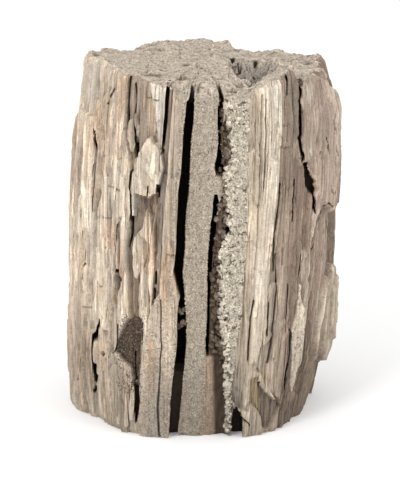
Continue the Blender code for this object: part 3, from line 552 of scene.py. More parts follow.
# Pockets in the top's sunken part, painted black as shade, in plan: (x, y, half width, half depth)
TOP_POCKETS = ((29, 40, 3.5, 2.0), (52, 40.5, 2.6, 0.9), (36, 36, 2.6, 0.8), (62, 33, 2.6, 0.8),
               (36, -28, 3, 5), (45, -48, 3, 6), (56, -58, 3, 5), (64, -20, 3, 5))
POCKET_DEPTH = 2.2
POCKET_RIM = 1.3
POCKET_SLOPE = 0.6


def lattice(ix, iy, iz, seed):
    """Repeatable numbers from -1 to 1, one for each whole-number place."""
    n = (ix * 73856093) ^ (iy * 19349663) ^ (iz * 83492791) ^ (seed * 2654435761)
    n = ((n ^ (n >> 13)) * 1274126177) & 0x7FFFFFFF
    n = n ^ (n >> 16)
    return (n & 0xFFFF) / 32767.5 - 1.0


def noise(x, y, z, seed):
    """Smooth value noise on three coordinates."""
    cells = [np.floor(v).astype(np.int64) for v in (x, y, z)]
    parts = [v - c for v, c in zip((x, y, z), cells)]
    fx, fy, fz = [p * p * (3.0 - 2.0 * p) for p in parts]
    total = 0.0
    for dx in (0, 1):
        for dy in (0, 1):
            for dz in (0, 1):
                share = (fx if dx else 1 - fx) * (fy if dy else 1 - fy) * (fz if dz else 1 - fz)
                total = total + share * lattice(cells[0] + dx, cells[1] + dy, cells[2] + dz, seed)
    return total


def wave(px, py, height, shape):
    size, across, along, seed = shape
    return size * noise(px / across, py / across, height / along, seed)


def flat_wave(x, y, shape):
    size, long, deep, seed = shape
    return size * noise(x / long, y / deep, 0.0 * x, seed)


def smooth_step(value, width):
    """Rises smoothly from 0 to 1 over the width."""
    t = np.clip(value / width, 0.0, 1.0)
    return t * t * (3.0 - 2.0 * t)


def ramp(value, start, width):
    """Rises smoothly from 0 at the start to 1 after the width."""
    return smooth_step(value - start, width)


def oval(x, y, centre_x, centre_y, half_x, half_y):
    """0 in the middle of an oval and 1 on its edge."""
    return ((x - centre_x) / half_x) ** 2 + ((y - centre_y) / half_y) ** 2


def mixed(first, second, share):
    return first * (1 - share) + np.array(second) * share


def foot_shade(height):
    """How much of its brightness the stone keeps under the painted shade that darkens it towards the foot.
    """
    return 1.0 - FOOT_SHADE * smooth_step(FOOT_SHADE_HEIGHT - height, FOOT_SHADE_HEIGHT)


def round_trunk(angle):
    """A point on a plain cylinder, so that noise closes on itself behind the trunk."""
    return GIRTH_RADIUS * np.sin(angle), -GIRTH_RADIUS * np.cos(angle)


def ring_radius(ring, angle):
    """Trunk radius on one ring, on a smooth curve through the compass angles."""
    turn = (np.degrees(angle) + 180.0) / COMPASS_STEP
    start = np.floor(turn).astype(int)
    f = turn - start
    values = np.array(ring, dtype=float)
    p0, p1, p2, p3 = [values[(start + k) % len(values)] for k in (-1, 0, 1, 2)]
    return 0.5 * (2 * p1 + (p2 - p0) * f + (2 * p0 - 5 * p1 + 4 * p2 - p3) * f ** 2
                  + (3 * p1 - p0 - 3 * p2 + p3) * f ** 3)


def trunk_radius(angle, height):
    levels = sorted(TRUNK_RINGS)
    radii = [ring_radius(TRUNK_RINGS[level], angle) for level in levels]
    height = np.clip(height, levels[0], levels[-1])
    radius = radii[0]
    for k in range(len(levels) - 1):
        t = np.clip((height - levels[k]) / (levels[k + 1] - levels[k]), 0.0, 1.0)
        radius = np.where(height >= levels[k], radii[k] * (1 - t) + radii[k + 1] * t, radius)
    return radius


def strip_mask(girth, height, rows, width, ends_slope=ENDS_SLOPE):
    """1 inside an outline given by its left and right edges at several heights."""
    heights, left, right = np.array(rows, dtype=float).T
    low = np.interp(height, heights, left)
    high = np.interp(height, heights, right)
    inside = np.minimum(girth - low, high - girth)
    ends = np.minimum(height - heights[0], heights[-1] - height) * ends_slope + width
    return smooth_step(np.minimum(inside, ends) + 0.5 * width, width)


def apply_level(relief, mask, level):
    return relief * (1.0 - mask) + level * mask


def short_way(girth):
    """The same girth, counted the short way round from the front."""
    return (girth + GIRTH / 2) % GIRTH - GIRTH / 2


def drawn_outline(draw, index, kind):
    """Outline and level of one random splinter or plate."""
    centre = (index + draw.uniform(*kind["places"])) / kind["count"] * GIRTH * kind["turns"]
    middle = draw.uniform(*kind["middles"])
    wide = draw.uniform(*kind["widths"]) * 0.5
    long = draw.uniform(*kind["lengths"]) * 0.5
    level = draw.uniform(*kind["levels"])
    slope = draw.uniform(*kind["end slopes"])
    slants = draw.uniform(-END_SLANT, END_SLANT, 2)
    lean = draw.uniform(-kind["lean"], kind["lean"])
    return [centre, middle, wide, long, slope, slants, lean], level


def outline_axes(girth, height, outline):
    """Distances across and along a leaning outline, from its middle."""
    centre, middle, *_, lean = outline
    along = height - middle
    return short_way(girth - centre - lean * along), along


def outline_inside(across, along, outline):
    """Distance inside an outline with straight sides and two ends cut at a slant."""
    _, _, wide, long, slope, slants, _ = outline
    ends = np.minimum(long + along + slants[0] * across, long - along + slants[1] * across)
    return np.minimum(wide - np.abs(across), slope * ends)


def add_random_splinters(relief, girth, height):
    """Overlapping splinters all round, quieter on the front, where the named ones lie."""
    draw = np.random.RandomState(SPLINTERS["seed"])
    px, py = round_trunk(girth / GIRTH_RADIUS)
    jagged = height + wave(px, py, height, SPLINTER_JAGS)
    calm = FRONT_CALM + (1 - FRONT_CALM) * smooth_step(np.abs(girth) - FRONT_REACH, CALM_WIDTH)
    for index in range(SPLINTERS["count"]):
        outline, level = drawn_outline(draw, index, SPLINTERS)
        inside = outline_inside(*outline_axes(girth, jagged, outline), outline)
        relief = apply_level(relief, smooth_step(inside, STEP_WIDTH), level * calm)
    return relief


def cells(u, v, size, seed):
    """Distance to the nearest of scattered points, in cells of the given size (Worley noise)."""
    u = u / size
    v = v / size
    iu = np.floor(u).astype(np.int64)
    iv = np.floor(v).astype(np.int64)
    flat = np.zeros_like(iu)
    best = np.full(u.shape, 9.0)
    for du in (-1, 0, 1):
        for dv in (-1, 0, 1):
            cu = iu + du + 0.5 + 0.45 * lattice(iu + du, iv + dv, flat, seed)
            cv = iv + dv + 0.5 + 0.45 * lattice(iu + du, iv + dv, flat, seed + 1)
            best = np.minimum(best, (u - cu) ** 2 + (v - cv) ** 2)
    return np.sqrt(best)


def thin_plates():
    """The outline of each thin plate, its level, shade and share of orange."""
    draw = np.random.RandomState(PLATES["seed"])
    for index in range(PLATES["count"]):
        (centre, *form, lean), level = drawn_outline(draw, index, PLATES)
        centre = short_way(centre)
        lean = lean + RIGHT_LEAN * (LEANING_GIRTHS[0] < centre < LEANING_GIRTHS[1])
        shade = draw.uniform(*PLATE_SHADES)
        warm = draw.uniform(*PLATE_WARMTH)
        yield (centre, *form, lean), level, shade, warm


class Bark:
    """Relief and tint of the bark at many places at once."""

    def __init__(self, angle, height):
        px, py = round_trunk(angle)
        self.px, self.py = px, py
        self.plain_girth = angle * GIRTH_RADIUS
        self.plain_height = height
        self.girth = self.plain_girth + wave(px, py, height, EDGE_WAVES)
        self.girth = self.girth + wave(px, py, height, SHORT_EDGE_WAVES)
        self.height = height + wave(px, py, height, END_WAVES)
        leaning = RIGHT_LEAN * ramp(self.plain_girth, LEAN_START, LEAN_FADE)
        leaning = leaning * smooth_step(LEAN_END - self.plain_girth, LEAN_FADE)
        self.grain_girth = self.plain_girth - leaning * (height - LEAN_MIDDLE)
        self.gx, self.gy = round_trunk(self.grain_girth / GIRTH_RADIUS)
        self.masks = {}

    def mask(self, name, rows, width=STEP_WIDTH):
        if name not in self.masks:
            width = SOFT_EDGES.get(name, width)
            self.masks[name] = strip_mask(self.girth, self.height, rows, width)
        return self.masks[name]

    def part(self, name):
        """Share of a named plate, ridge or hollow."""
        return self.mask(name, RELIEF[name][1:])

    def wood(self):
        return np.clip(1.0 - self.sand() - self.crust(), 0.0, 1.0)

    def plate_inside(self, plate):
        """Distance inside a thin plate's outline, for the places near it."""
        across, along = outline_axes(self.girth, self.height, plate)
        _, _, wide, long, *_ = plate
        near = (np.abs(across) < wide + NEAR_SIDE) & (np.abs(along) < long + NEAR_END)
        return near, outline_inside(across[near], along[near], plate)

    def closed_relief(self):
        """The level of the bark as if no crack or slit were open in it."""
        px, py, height = self.px, self.py, self.plain_height
        relief = wave(px, py, height, SWELLS) + wave(px, py, height, RIBS)
        relief = add_random_splinters(relief, self.girth, self.height)
        for name, (level, *_) in RELIEF.items():
            relief = apply_level(relief, self.part(name), level)
        sand, wood = self.sand(), self.wood()
        detail = np.zeros_like(relief)
        for plate, level, _, _ in thin_plates():
            near, inside = self.plate_inside(plate)
            detail[near] += level * smooth_step(inside + 0.5 * PLATE_EDGE, PLATE_EDGE)
            detail[near] -= PLATE_GAP * np.clip(1.0 - np.abs(inside) / PLATE_EDGE, 0.0, 1.0)
        detail = np.clip(detail, -PLATE_LIMIT, PLATE_LIMIT) + wave(px, py, height, FIBRES)
        detail = detail + wave(self.gx, self.gy, height, FINE_FIBRES) - self.grooves()
        relief = relief + detail * (DETAIL_ON_SAND + (1 - DETAIL_ON_SAND) * wood)
        relief = relief + sand * wave(px, py, height, SAND_BUMPS)
        lumpy = sum(self.part(name) for name in LUMPY_PARTS)
        relief = relief + LUMPINESS * lumpy * (0.5 - cells(self.plain_girth, height, *LUMP_CELLS))
        for left, right, middle in CROSS_CRACKS:
            relief = relief - CROSS_CRACK_DEPTH * self.cross_crack(left, right, middle)
        return relief + self.crust() * self.crust_bumps()

    def opened(self, relief):
        """The level of the bark once its cracks and slits are open."""
        for depth, *rows in SLITS.values():
            relief = relief - depth * self.slit(rows)
        rough = wave(self.px, self.py, self.plain_height, CRACK_BUMPS)
        for name, (level, _, *rows) in CRACKS.items():
            relief = apply_level(relief, self.mask(name, rows, CRACK_STEP_WIDTH), level + rough)
        return relief

    def relief(self):
        return self.opened(self.closed_relief())

    def grooves(self):
        """Thin dark lines with the grain, where slow noise crosses zero."""
        total = np.zeros_like(self.px)
        for spacing, length, depth, seed in GROOVES:
            swing = noise(self.gx / spacing, self.gy / spacing, self.plain_height / length, seed)
            line = np.clip(1.0 - np.abs(swing) / GROOVE_SHARPNESS, 0.0, 1.0)
            here = wave(self.gx, self.gy, self.plain_height, (*GROOVE_PATCHES, seed + 10))
            total = total + depth * line * ramp(here, *GROOVE_REACH)
        return total

    def slit(self, rows):
        heights, middle, half = np.array(rows, dtype=float).T
        apart = np.abs(self.girth - np.interp(self.height, heights, middle))
        width = np.interp(self.height, heights, half)
        inside = (self.height > heights[0]) & (self.height < heights[-1])
        return inside * np.clip(1.0 - apart / (width + SLIT_SOFTNESS), 0.0, 1.0)

    def seams(self):
        """How far each place lies inside a slit or crack, for the painted shade there."""
        total = np.zeros_like(self.px)
        for depth, *rows in SLITS.values():
            total = np.maximum(total, depth / SLIT_DEPTH_FOR_BLACK * self.slit(rows))
        for left, right, middle in CROSS_CRACKS:
            total = np.maximum(total, CROSS_CRACK_SHADE * self.cross_crack(left, right, middle))
        return total

    def openings(self):
        """How much painted shade each place gets for lying in an open crack; the deepest are painted black.
        """
        total = np.zeros_like(self.px)
        for name, (_, darkness, *rows) in CRACKS.items():
            share = ramp(self.mask(name, rows, CRACK_STEP_WIDTH), *CRACK_PAINT)
            total = np.maximum(total, darkness * share)
        return total

    def cross_crack(self, left, right, middle):
        apart = self.height - middle - wave(self.px, self.py, self.plain_height, CROSS_CRACK_WAVES)
        inside = (self.girth > left) & (self.girth < right)
        return inside * np.clip(1.0 - np.abs(apart), 0.0, 1.0)

    def sand(self):
        """How sandy each place is; of the ridge only the foot is."""
        total = SANDY_RIDGE * self.part("pink ridge")
        total = total * smooth_step(SANDY_RIDGE_HEIGHT - self.plain_height, SANDY_RIDGE_FADE)
        for name, share in SANDY_PARTS.items():
            total = np.maximum(total, share * self.part(name))
        return total

    def crust(self):
        return np.clip(self.part("crust band") + CRUSTY_SPLINTER * self.part("sandy splinter"), 0.0, 1.0)

    def stained(self, tint):
        """Soft patches of colour laid over the ground colour."""
        ragged = wave(self.px, self.py, self.plain_height, STAIN_WAVES)
        keep = (1.0 - self.openings())[:, None]
        for *spot, colour, strength in STAINS:
            reach = oval(self.plain_girth, self.plain_height, *spot)
            share = strength * smooth_step(STAIN_RIM + ragged - reach, STAIN_SLOPE)[:, None] * keep
            tint = mixed(tint, colour, share)
        return tint

    def crust_bumps(self):
        girth, height = self.plain_girth, self.plain_height
        bumps = sum(size * (1.0 - cells(girth, height, *shape)) for size, *shape in CRUST_CELLS)
        return bumps - CRUST_SINK

    def tint(self):
        """The ground colour of each place, before streaks, speckle and shade."""
        px, py, height = self.px, self.py, self.plain_height
        side = self.plain_girth
        left = ramp(-side, *CREAM_SIDE)[:, None]
        right = ramp(side, *BROWN_SIDE)[:, None]
        tint = mixed(mixed(np.array(BEIGE), CREAM, left), RIGHT_BROWN, right)
        for name in RELIEF:
            tint = mixed(tint, TINTS[name], self.part(name)[:, None])
        tint = self.stained(tint)
        wood = self.wood()
        for plate, _, shade, warm in thin_plates():
            near, inside = self.plate_inside(plate)
            share = smooth_step(inside + 0.5 * PLATE_EDGE, PLATE_EDGE) * wood[near]
            tint[near] *= (1.0 + (shade - 1.0) * share)[:, None]
            blend = (max(warm, 0.0) * share * ramp(-side[near], *WARM_PLATES))[:, None]
            tint[near] = mixed(tint[near], ORANGE, blend)
        streak = sum(wave(px, py, height, shape) for shape in STREAK_WAVES)
        warm = ramp(streak, *STREAK_PAINT) * wood * ramp(-side, *WARM_SIDE)
        tint = mixed(tint, ORANGE, STREAK_WARMTH * warm[:, None])
        # Painted shade darkens the colour towards the foot
        return tint * foot_shade(height)[:, None]


def hollow_share(x, y, edge):
    """1 on the floor of the top's sunken part, 0 outside it."""
    sideways, along, crumbly = [flat_wave(x, y, shape) for shape in HOLLOW_WAVES]
    return strip_mask(x + sideways + crumbly, y + along + crumbly, TOP_HOLLOW[1:], edge, 1.0)


def top_height(x, y):
    """The broken top: spot heights joined smoothly, with a hollow, pits and a rough grain."""
    weight_sum = 0.0
    height_sum = 0.0
    for sx, sy, sz in SPOT_HEIGHTS:
        weight = 1.0 / (((x - sx) ** 2 + (y - sy) ** 2 + SPOT_SOFTNESS) ** (SPOT_SHARPNESS / 2))
        weight_sum = weight_sum + weight
        height_sum = height_sum + weight * sz
    height = height_sum / weight_sum
    ragged = flat_wave(x, y, PIT_WAVES)
    for *pit, sink in TOP_PITS:
        height = height - sink * smooth_step(PIT_RIM - oval(x, y, *pit) - ragged, PIT_SLOPE)
    height = height - TOP_HOLLOW[0] * hollow_share(x, y, HOLLOW_EDGE)
    return height + sum(flat_wave(x, y, shape) for shape in TOP_WAVES)


def column_angle(across):
    return math.pi * (FRONT_DENSITY * across + (1 - FRONT_DENSITY) * across ** 3)


def skin_radius(angle, height):
    return trunk_radius(angle, height) + Bark(angle, height).relief()


def pocket_share(x, y):
    """1 in the pockets of the top's sunken part, which are painted black as shade."""
    total = 0.0 * x
    for pocket in TOP_POCKETS:
        total = np.maximum(total, smooth_step(POCKET_RIM - oval(x, y, *pocket), POCKET_SLOPE))
    return total


def fine_top(x, y):
    """The top with its grain, chips and small pits."""
    height = top_height(x, y) + sum(flat_wave(x, y, shape) for shape in FINE_TOP_WAVES)
    chip = np.abs(flat_wave(x, y, CHIP_WAVES))
    height = height - CHIP_DEPTH * np.clip(1.0 - chip / CHIP_SHARPNESS, 0.0, 1.0)
    hollow = hollow_share(x, y, HOLLOW_EDGE)
    height = height + hollow * HOLLOW_LUMPS * (0.5 - cells(x, y, HOLLOW_LUMPS, HOLLOW_LUMP_SEED))
    height = height - POCKET_DEPTH * pocket_share(x, y)
    draw = np.random.RandomState(SMALL_PIT_SEED)
    ragged = flat_wave(x, y, PIT_WAVES)
    for _ in range(SMALL_PIT_COUNT):
        centre = draw.uniform(-SMALL_PIT_REACH, SMALL_PIT_REACH, 2)
        halves = draw.uniform(*SMALL_PIT_WIDTHS), draw.uniform(*SMALL_PIT_LENGTHS)
        sink = draw.uniform(*SMALL_PIT_SINKS)
        reach = oval(x, y, *centre, *halves) + ragged
        height = height - sink * smooth_step(SMALL_PIT_RIM - reach, PIT_SLOPE)
    return height


def wrapped_positions(across, up):
    """Skin positions for grid places, and each place on the plain trunk that it comes from.

    Across runs round the trunk, up from foot to top centre. In front, cracks run straight back.
    """
    angle = column_angle(across)
    row = np.rint(up * (1 + SIDE_ROWS + TOP_RINGS)).astype(int)
    climb = np.clip((row - 1) / SIDE_ROWS, 0.0, 1.0)
    ring = np.clip(1.0 - (row - 1 - SIDE_ROWS) / TOP_RINGS, 0.0, 1.0)
    rim = skin_radius(angle, np.full_like(angle, RIM_HEIGHT))
    rim_z = fine_top(rim * np.sin(angle), -rim * np.cos(angle))
    height = -SAW_ALLOWANCE + climb * (rim_z + SAW_ALLOWANCE)
    bark = Bark(angle, height)
    closed = bark.closed_relief()
    opened = closed - bark.opened(closed)
    straight = smooth_step(STRAIGHT_REACH - np.abs(angle), STRAIGHT_BLEND) * (ring == 1.0)
    radius = trunk_radius(angle, height) + closed - opened * (1.0 - straight)
    rim_wear_and_edge_shading = smooth_step(height - (rim_z - RIM_WEAR_DEPTH), RIM_WEAR_DEPTH)
    px, py = round_trunk(angle)
    worn_foot = smooth_step(FOOT_WEAR_HEIGHT - FOOT_DEPTH - height, FOOT_WEAR_HEIGHT)
    uneven = 0.5 + wave(px, py, 0.0 * px, RIM_WAVES)
    radius = radius - (rim_wear_and_edge_shading * RIM_WEAR + worn_foot * FOOT_WEAR) * uneven
    x = radius * np.sin(angle) * ring
    y = -radius * np.cos(angle) * ring + opened * straight
    z = np.where(ring < 1.0, fine_top(x, y), height)
    centre = row == 0
    places = np.stack([np.where(centre, 0.0, x), np.where(centre, 0.0, y), z], axis=1)
    return places, np.stack([px, py, height], axis=1), ring < 1.0


def wrapped_skin(name):
    """A grid primitive wrapped into the closed skin of the log."""
    rows = 1 + SIDE_ROWS + TOP_RINGS
    shape = bmesh.new()
    bmesh.ops.create_grid(shape, x_segments=COLUMNS, y_segments=rows, size=0.5)
    mesh = bpy.data.meshes.new(name)
    shape.to_mesh(mesh)
    shape.free()
    flat = np.empty(len(mesh.vertices) * 3)
    mesh.vertices.foreach_get("co", flat)
    flat = flat.reshape(-1, 3)
    places, homes, on_top = wrapped_positions(flat[:, 0] * 2.0, flat[:, 1] + 0.5)
    mesh.vertices.foreach_set("co", (places * MM).ravel())
    add_values(mesh, "home", "FLOAT_VECTOR", homes)
    add_values(mesh, "on_top", "FLOAT", on_top)
    shape = bmesh.new()
    shape.from_mesh(mesh)
    bmesh.ops.remove_doubles(shape, verts=shape.verts[:], dist=0.000001)
    bmesh.ops.recalc_face_normals(shape, faces=shape.faces[:])
    shape.to_mesh(mesh)
    shape.free()
    return mesh


def thinned(mesh, triangles):
    """The mesh with its triangles reduced to the target, flat stretches first."""
    draft = bpy.data.objects.new("draft", mesh)
    bpy.context.scene.collection.objects.link(draft)
    now = sum(len(face.vertices) - 2 for face in mesh.polygons)
    decimate = draft.modifiers.new("thin triangles", "DECIMATE")
    decimate.ratio = triangles / now
    decimate.use_collapse_triangulate = True
    depsgraph = bpy.context.evaluated_depsgraph_get()
    result = bpy.data.meshes.new_from_object(draft.evaluated_get(depsgraph))
    bpy.data.objects.remove(draft)
    return result


def saw_foot(mesh):
    """Cut the foot flat, FOOT_DEPTH under the tables' zero, and close it."""
    shape = bmesh.new()
    shape.from_mesh(mesh)
    everything = shape.verts[:] + shape.edges[:] + shape.faces[:]
    cut = bmesh.ops.bisect_plane(shape, geom=everything, dist=0.000001, clear_inner=True,
                                 plane_co=(0, 0, -FOOT_DEPTH * MM), plane_no=(0, 0, 1))
    rim = [item for item in cut["geom_cut"] if isinstance(item, bmesh.types.BMEdge)]
    foot = bmesh.ops.edgeloop_fill(shape, edges=rim)
    bmesh.ops.triangulate(shape, faces=foot["faces"])
    bmesh.ops.recalc_face_normals(shape, faces=shape.faces[:])
    shape.to_mesh(mesh)
    shape.free()


def points_of(mesh):
    flat = np.empty(len(mesh.vertices) * 3)
    mesh.vertices.foreach_get("co", flat)
    return flat.reshape(-1, 3) / MM


def add_values(mesh, name, kind, values):
    attribute = mesh.attributes.new(name, kind, "POINT")
    key = {"FLOAT": "value", "FLOAT_VECTOR": "vector", "FLOAT_COLOR": "color"}[kind]
    attribute.data.foreach_set(key, np.ascontiguousarray(values, dtype=np.float32).ravel())


def store_looks(mesh, tint, grain, sandy, crusty, deep):
    """Ground colour, grain direction and kind of surface, kept as values on the points."""
    colour = np.concatenate([tint, np.ones((len(tint), 1))], axis=1)
    add_values(mesh, "tint", "FLOAT_COLOR", colour)
    add_values(mesh, "grain", "FLOAT_VECTOR", grain * MM)
    add_values(mesh, "sandy", "FLOAT", sandy)
    add_values(mesh, "crusty", "FLOAT", crusty)
    add_values(mesh, "deep", "FLOAT", deep)


def values_of(mesh, name, key, width):
    flat = np.empty(len(mesh.vertices) * width)
    mesh.attributes[name].data.foreach_get(key, flat)
    return flat.reshape(-1, width)


def paint_skin(mesh):
    x, y, z = points_of(mesh).T
    home_x, home_y, home_z = values_of(mesh, "home", "vector", 3).T
    angle = np.arctan2(home_x, -home_y)
    radius = np.hypot(x, y)
    bark = Bark(angle, home_z)
    on_top = ramp(values_of(mesh, "on_top", "value", 1)[:, 0], *TOP_PAINT)
    hollow = ramp(hollow_share(x, y, HOLLOW_EDGE), *HOLLOW_PAINT) * on_top
    # Painted shade: below the smooth top, in its pits and pockets, and in the bark's cracks and slits
    sink = ramp(top_height(x, y) - z, *SINK_PAINT) * SINK_SHADE
    ragged = flat_wave(x, y, PIT_WAVES)
    for *pit, _ in TOP_PITS:
        inside = smooth_step(PIT_RIM - oval(x, y, *pit) - ragged, PIT_SLOPE)
        sink = np.maximum(sink, PIT_SHADE * inside)
    sink = np.maximum(sink, pocket_share(x, y))
    inside = np.maximum(bark.openings(), bark.seams()) * (1.0 - on_top)
    shade = np.maximum(inside, sink * on_top)
    top = on_top[:, None]
    hollow = hollow[:, None]
    stone = mixed(np.array(TOP_STONE), HOLLOW_GREY, hollow)
    tint = mixed(bark.tint(), stone, top)
    grain = np.stack([bark.grain_girth, radius, z], axis=1)
    grain = mixed(grain, np.stack([x, y, z], axis=1), top)
    sandy = np.clip(bark.sand() + on_top, 0.0, 1.0)
    crusty = bark.crust() * (1 - on_top) + hollow[:, 0]
    store_looks(mesh, tint, grain, sandy, crusty, shade)


def joined_copies(name, template, places, turns, sizes):
    """Copies of one small mesh, each placed, turned and sized, joined in one mesh."""
    corners = np.array([vertex.co for vertex in template.vertices])
    faces = np.array([tuple(face.vertices) for face in template.polygons])
    spread = np.einsum("nij,kj->nki", turns, corners) * sizes[:, None, :] + places[:, None, :]
    offsets = (np.arange(len(places)) * len(corners))[:, None, None]
    mesh = bpy.data.meshes.new(name)
    mesh.from_pydata((spread.reshape(-1, 3) * MM).tolist(), [],
                     (faces[None] + offsets).reshape(-1, faces.shape[1]).tolist())
    return mesh, len(corners)


def random_turns(draw, count):
    """Random rotation matrices from unit quaternions."""
    q = draw.normal(size=(count, 4))
    w, x, y, z = (q / np.linalg.norm(q, axis=1, keepdims=True)).T
    rows = [[1 - 2 * (y * y + z * z), 2 * (x * y - z * w), 2 * (x * z + y * w)],
            [2 * (x * y + z * w), 1 - 2 * (x * x + z * z), 2 * (y * z - x * w)],
            [2 * (x * z - y * w), 2 * (y * z + x * w), 1 - 2 * (x * x + y * y)]]
    return np.moveaxis(np.array(rows), 2, 0)


def small_ball(name, detail):
    shape = bmesh.new()
    bmesh.ops.create_icosphere(shape, subdivisions=detail, radius=1.0)
    mesh = bpy.data.meshes.new(name)
    shape.to_mesh(mesh)
    shape.free()
    return mesh


def on_trunk(girth, height, level):
    """Points at a level outside the plain trunk."""
    angle = girth / GIRTH_RADIUS
    radius = trunk_radius(angle, height) + level
    return np.stack([radius * np.sin(angle), -radius * np.cos(angle), height], axis=1)


def under_top(places):
    """Which points lie below the broken top."""
    return places[:, 2] < fine_top(places[:, 0], places[:, 1]) - RIM_CLEARANCE


def finish_piece(name, mesh, smooth=True):
    """Stand a piece on the floor and hand it over as a part of the log."""
    mesh.transform(Matrix.Translation((0.0, 0.0, FOOT_DEPTH * MM)))
    if smooth:
        mesh.shade_smooth()
    mesh.materials.append(FOSSIL)
    piece = bpy.data.objects.new(name, mesh)
    bpy.context.scene.collection.objects.link(piece)
    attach(piece, "root")
    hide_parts("petrified_wood")


def crust_lumps():
    """Girth, height, radius, level and brownness of every knob of crust, as rows."""
    draw = np.random.RandomState(CRUST_SEED)
    heights, left, right = np.array(RELIEF["crust band"][1:], dtype=float).T
    rows = []
    for _ in range(BAND_LUMP_COUNT):
        z = draw.uniform(*BAND_LUMP_HEIGHTS)
        share = draw.uniform(*(BAND_SPREAD if draw.uniform() < BAND_SPREAD_SHARE else BAND_LIP_SPREAD))
        size = draw.uniform(*BAND_LUMP_RADII) * (LIP_LUMP_SIZE - LUMP_TAPER * max(share, 0.0))
        low, high = np.interp(z, heights, left), np.interp(z, heights, right)
        rows.append((low + share * (high - low), z, size, BAND_LUMP_LEVEL - LUMP_SUNK * size, 0.0))
    for _ in range(WALL_LUMP_COUNT):
        z = draw.uniform(*WALL_LUMP_HEIGHTS)
        down = draw.uniform(0.0, 1.0)
        edge = np.interp(z, heights, left) - draw.uniform(*WALL_LUMP_SCATTER)
        rows.append((edge - WALL_OVERHANG * down, z, draw.uniform(*WALL_LUMP_RADII),
                     WALL_LUMP_LEVEL - WALL_DEPTH * down,
                     min(1.0, WALL_TOP_BROWN + WALL_BROWNING * down)))
    for centre, middle, size, floor in FISSURE_LUMPS:
        for _ in range(LUMPS_IN_A_CLUSTER):
            side, rise, share, lift, brown = [draw.uniform(*limits) for limits in CLUSTER_SPREAD]
            rows.append((centre + side, middle + rise, size * share, floor + lift, brown))
    return np.array(rows).T


def make_crust_lumps():
    """Rounded knobs of crust on the band, down the fissure's right wall and on its floor."""
    girth, height, radius, level, brown = crust_lumps()
    keep = under_top(on_trunk(girth, height, level) + np.array((0.0, 0.0, 1.0)) * radius[:, None])
    girth, height, radius, level, brown = [v[keep] for v in (girth, height, radius, level, brown)]
    draw = np.random.RandomState(CRUST_SEED + 1)
    sizes = radius[:, None] * draw.uniform(*UNEVEN_SIZES, (len(radius), 3))
    places = on_trunk(girth, height, level)
    mesh, corners = joined_copies("crust_lumps", small_ball("knob", 2), places,
                                  random_turns(draw, len(radius)), sizes)
    points = points_of(mesh)
    bumps = noise(*(points / KNOB_WAVE).T, KNOB_SEED)
    centres = np.repeat(places, corners, axis=0)
    points = centres + (points - centres) * (1.0 + KNOB_ROUGHNESS * bumps[:, None])
    points[:, 2] = np.maximum(points[:, 2], LOWEST)
    mesh.vertices.foreach_set("co", (points * MM).ravel())
    brown = np.repeat(brown, corners)[:, None]
    shade = np.repeat(draw.uniform(*KNOB_SHADES, len(radius)), corners)[:, None]
    # Painted shade darkens the knobs towards the foot
    tint = mixed(np.array(CRUST), BROWN, brown) * shade * foot_shade(points[:, 2:])
    # Knobs deep in the fissure get painted shade
    deep = np.repeat(ramp(-level, *KNOB_SHADE_DEPTHS), corners) * KNOB_DARKEST
    everywhere = np.ones(len(points))
    store_looks(mesh, tint, points, 0 * everywhere, everywhere, deep)
    finish_piece("crust_lumps", mesh)


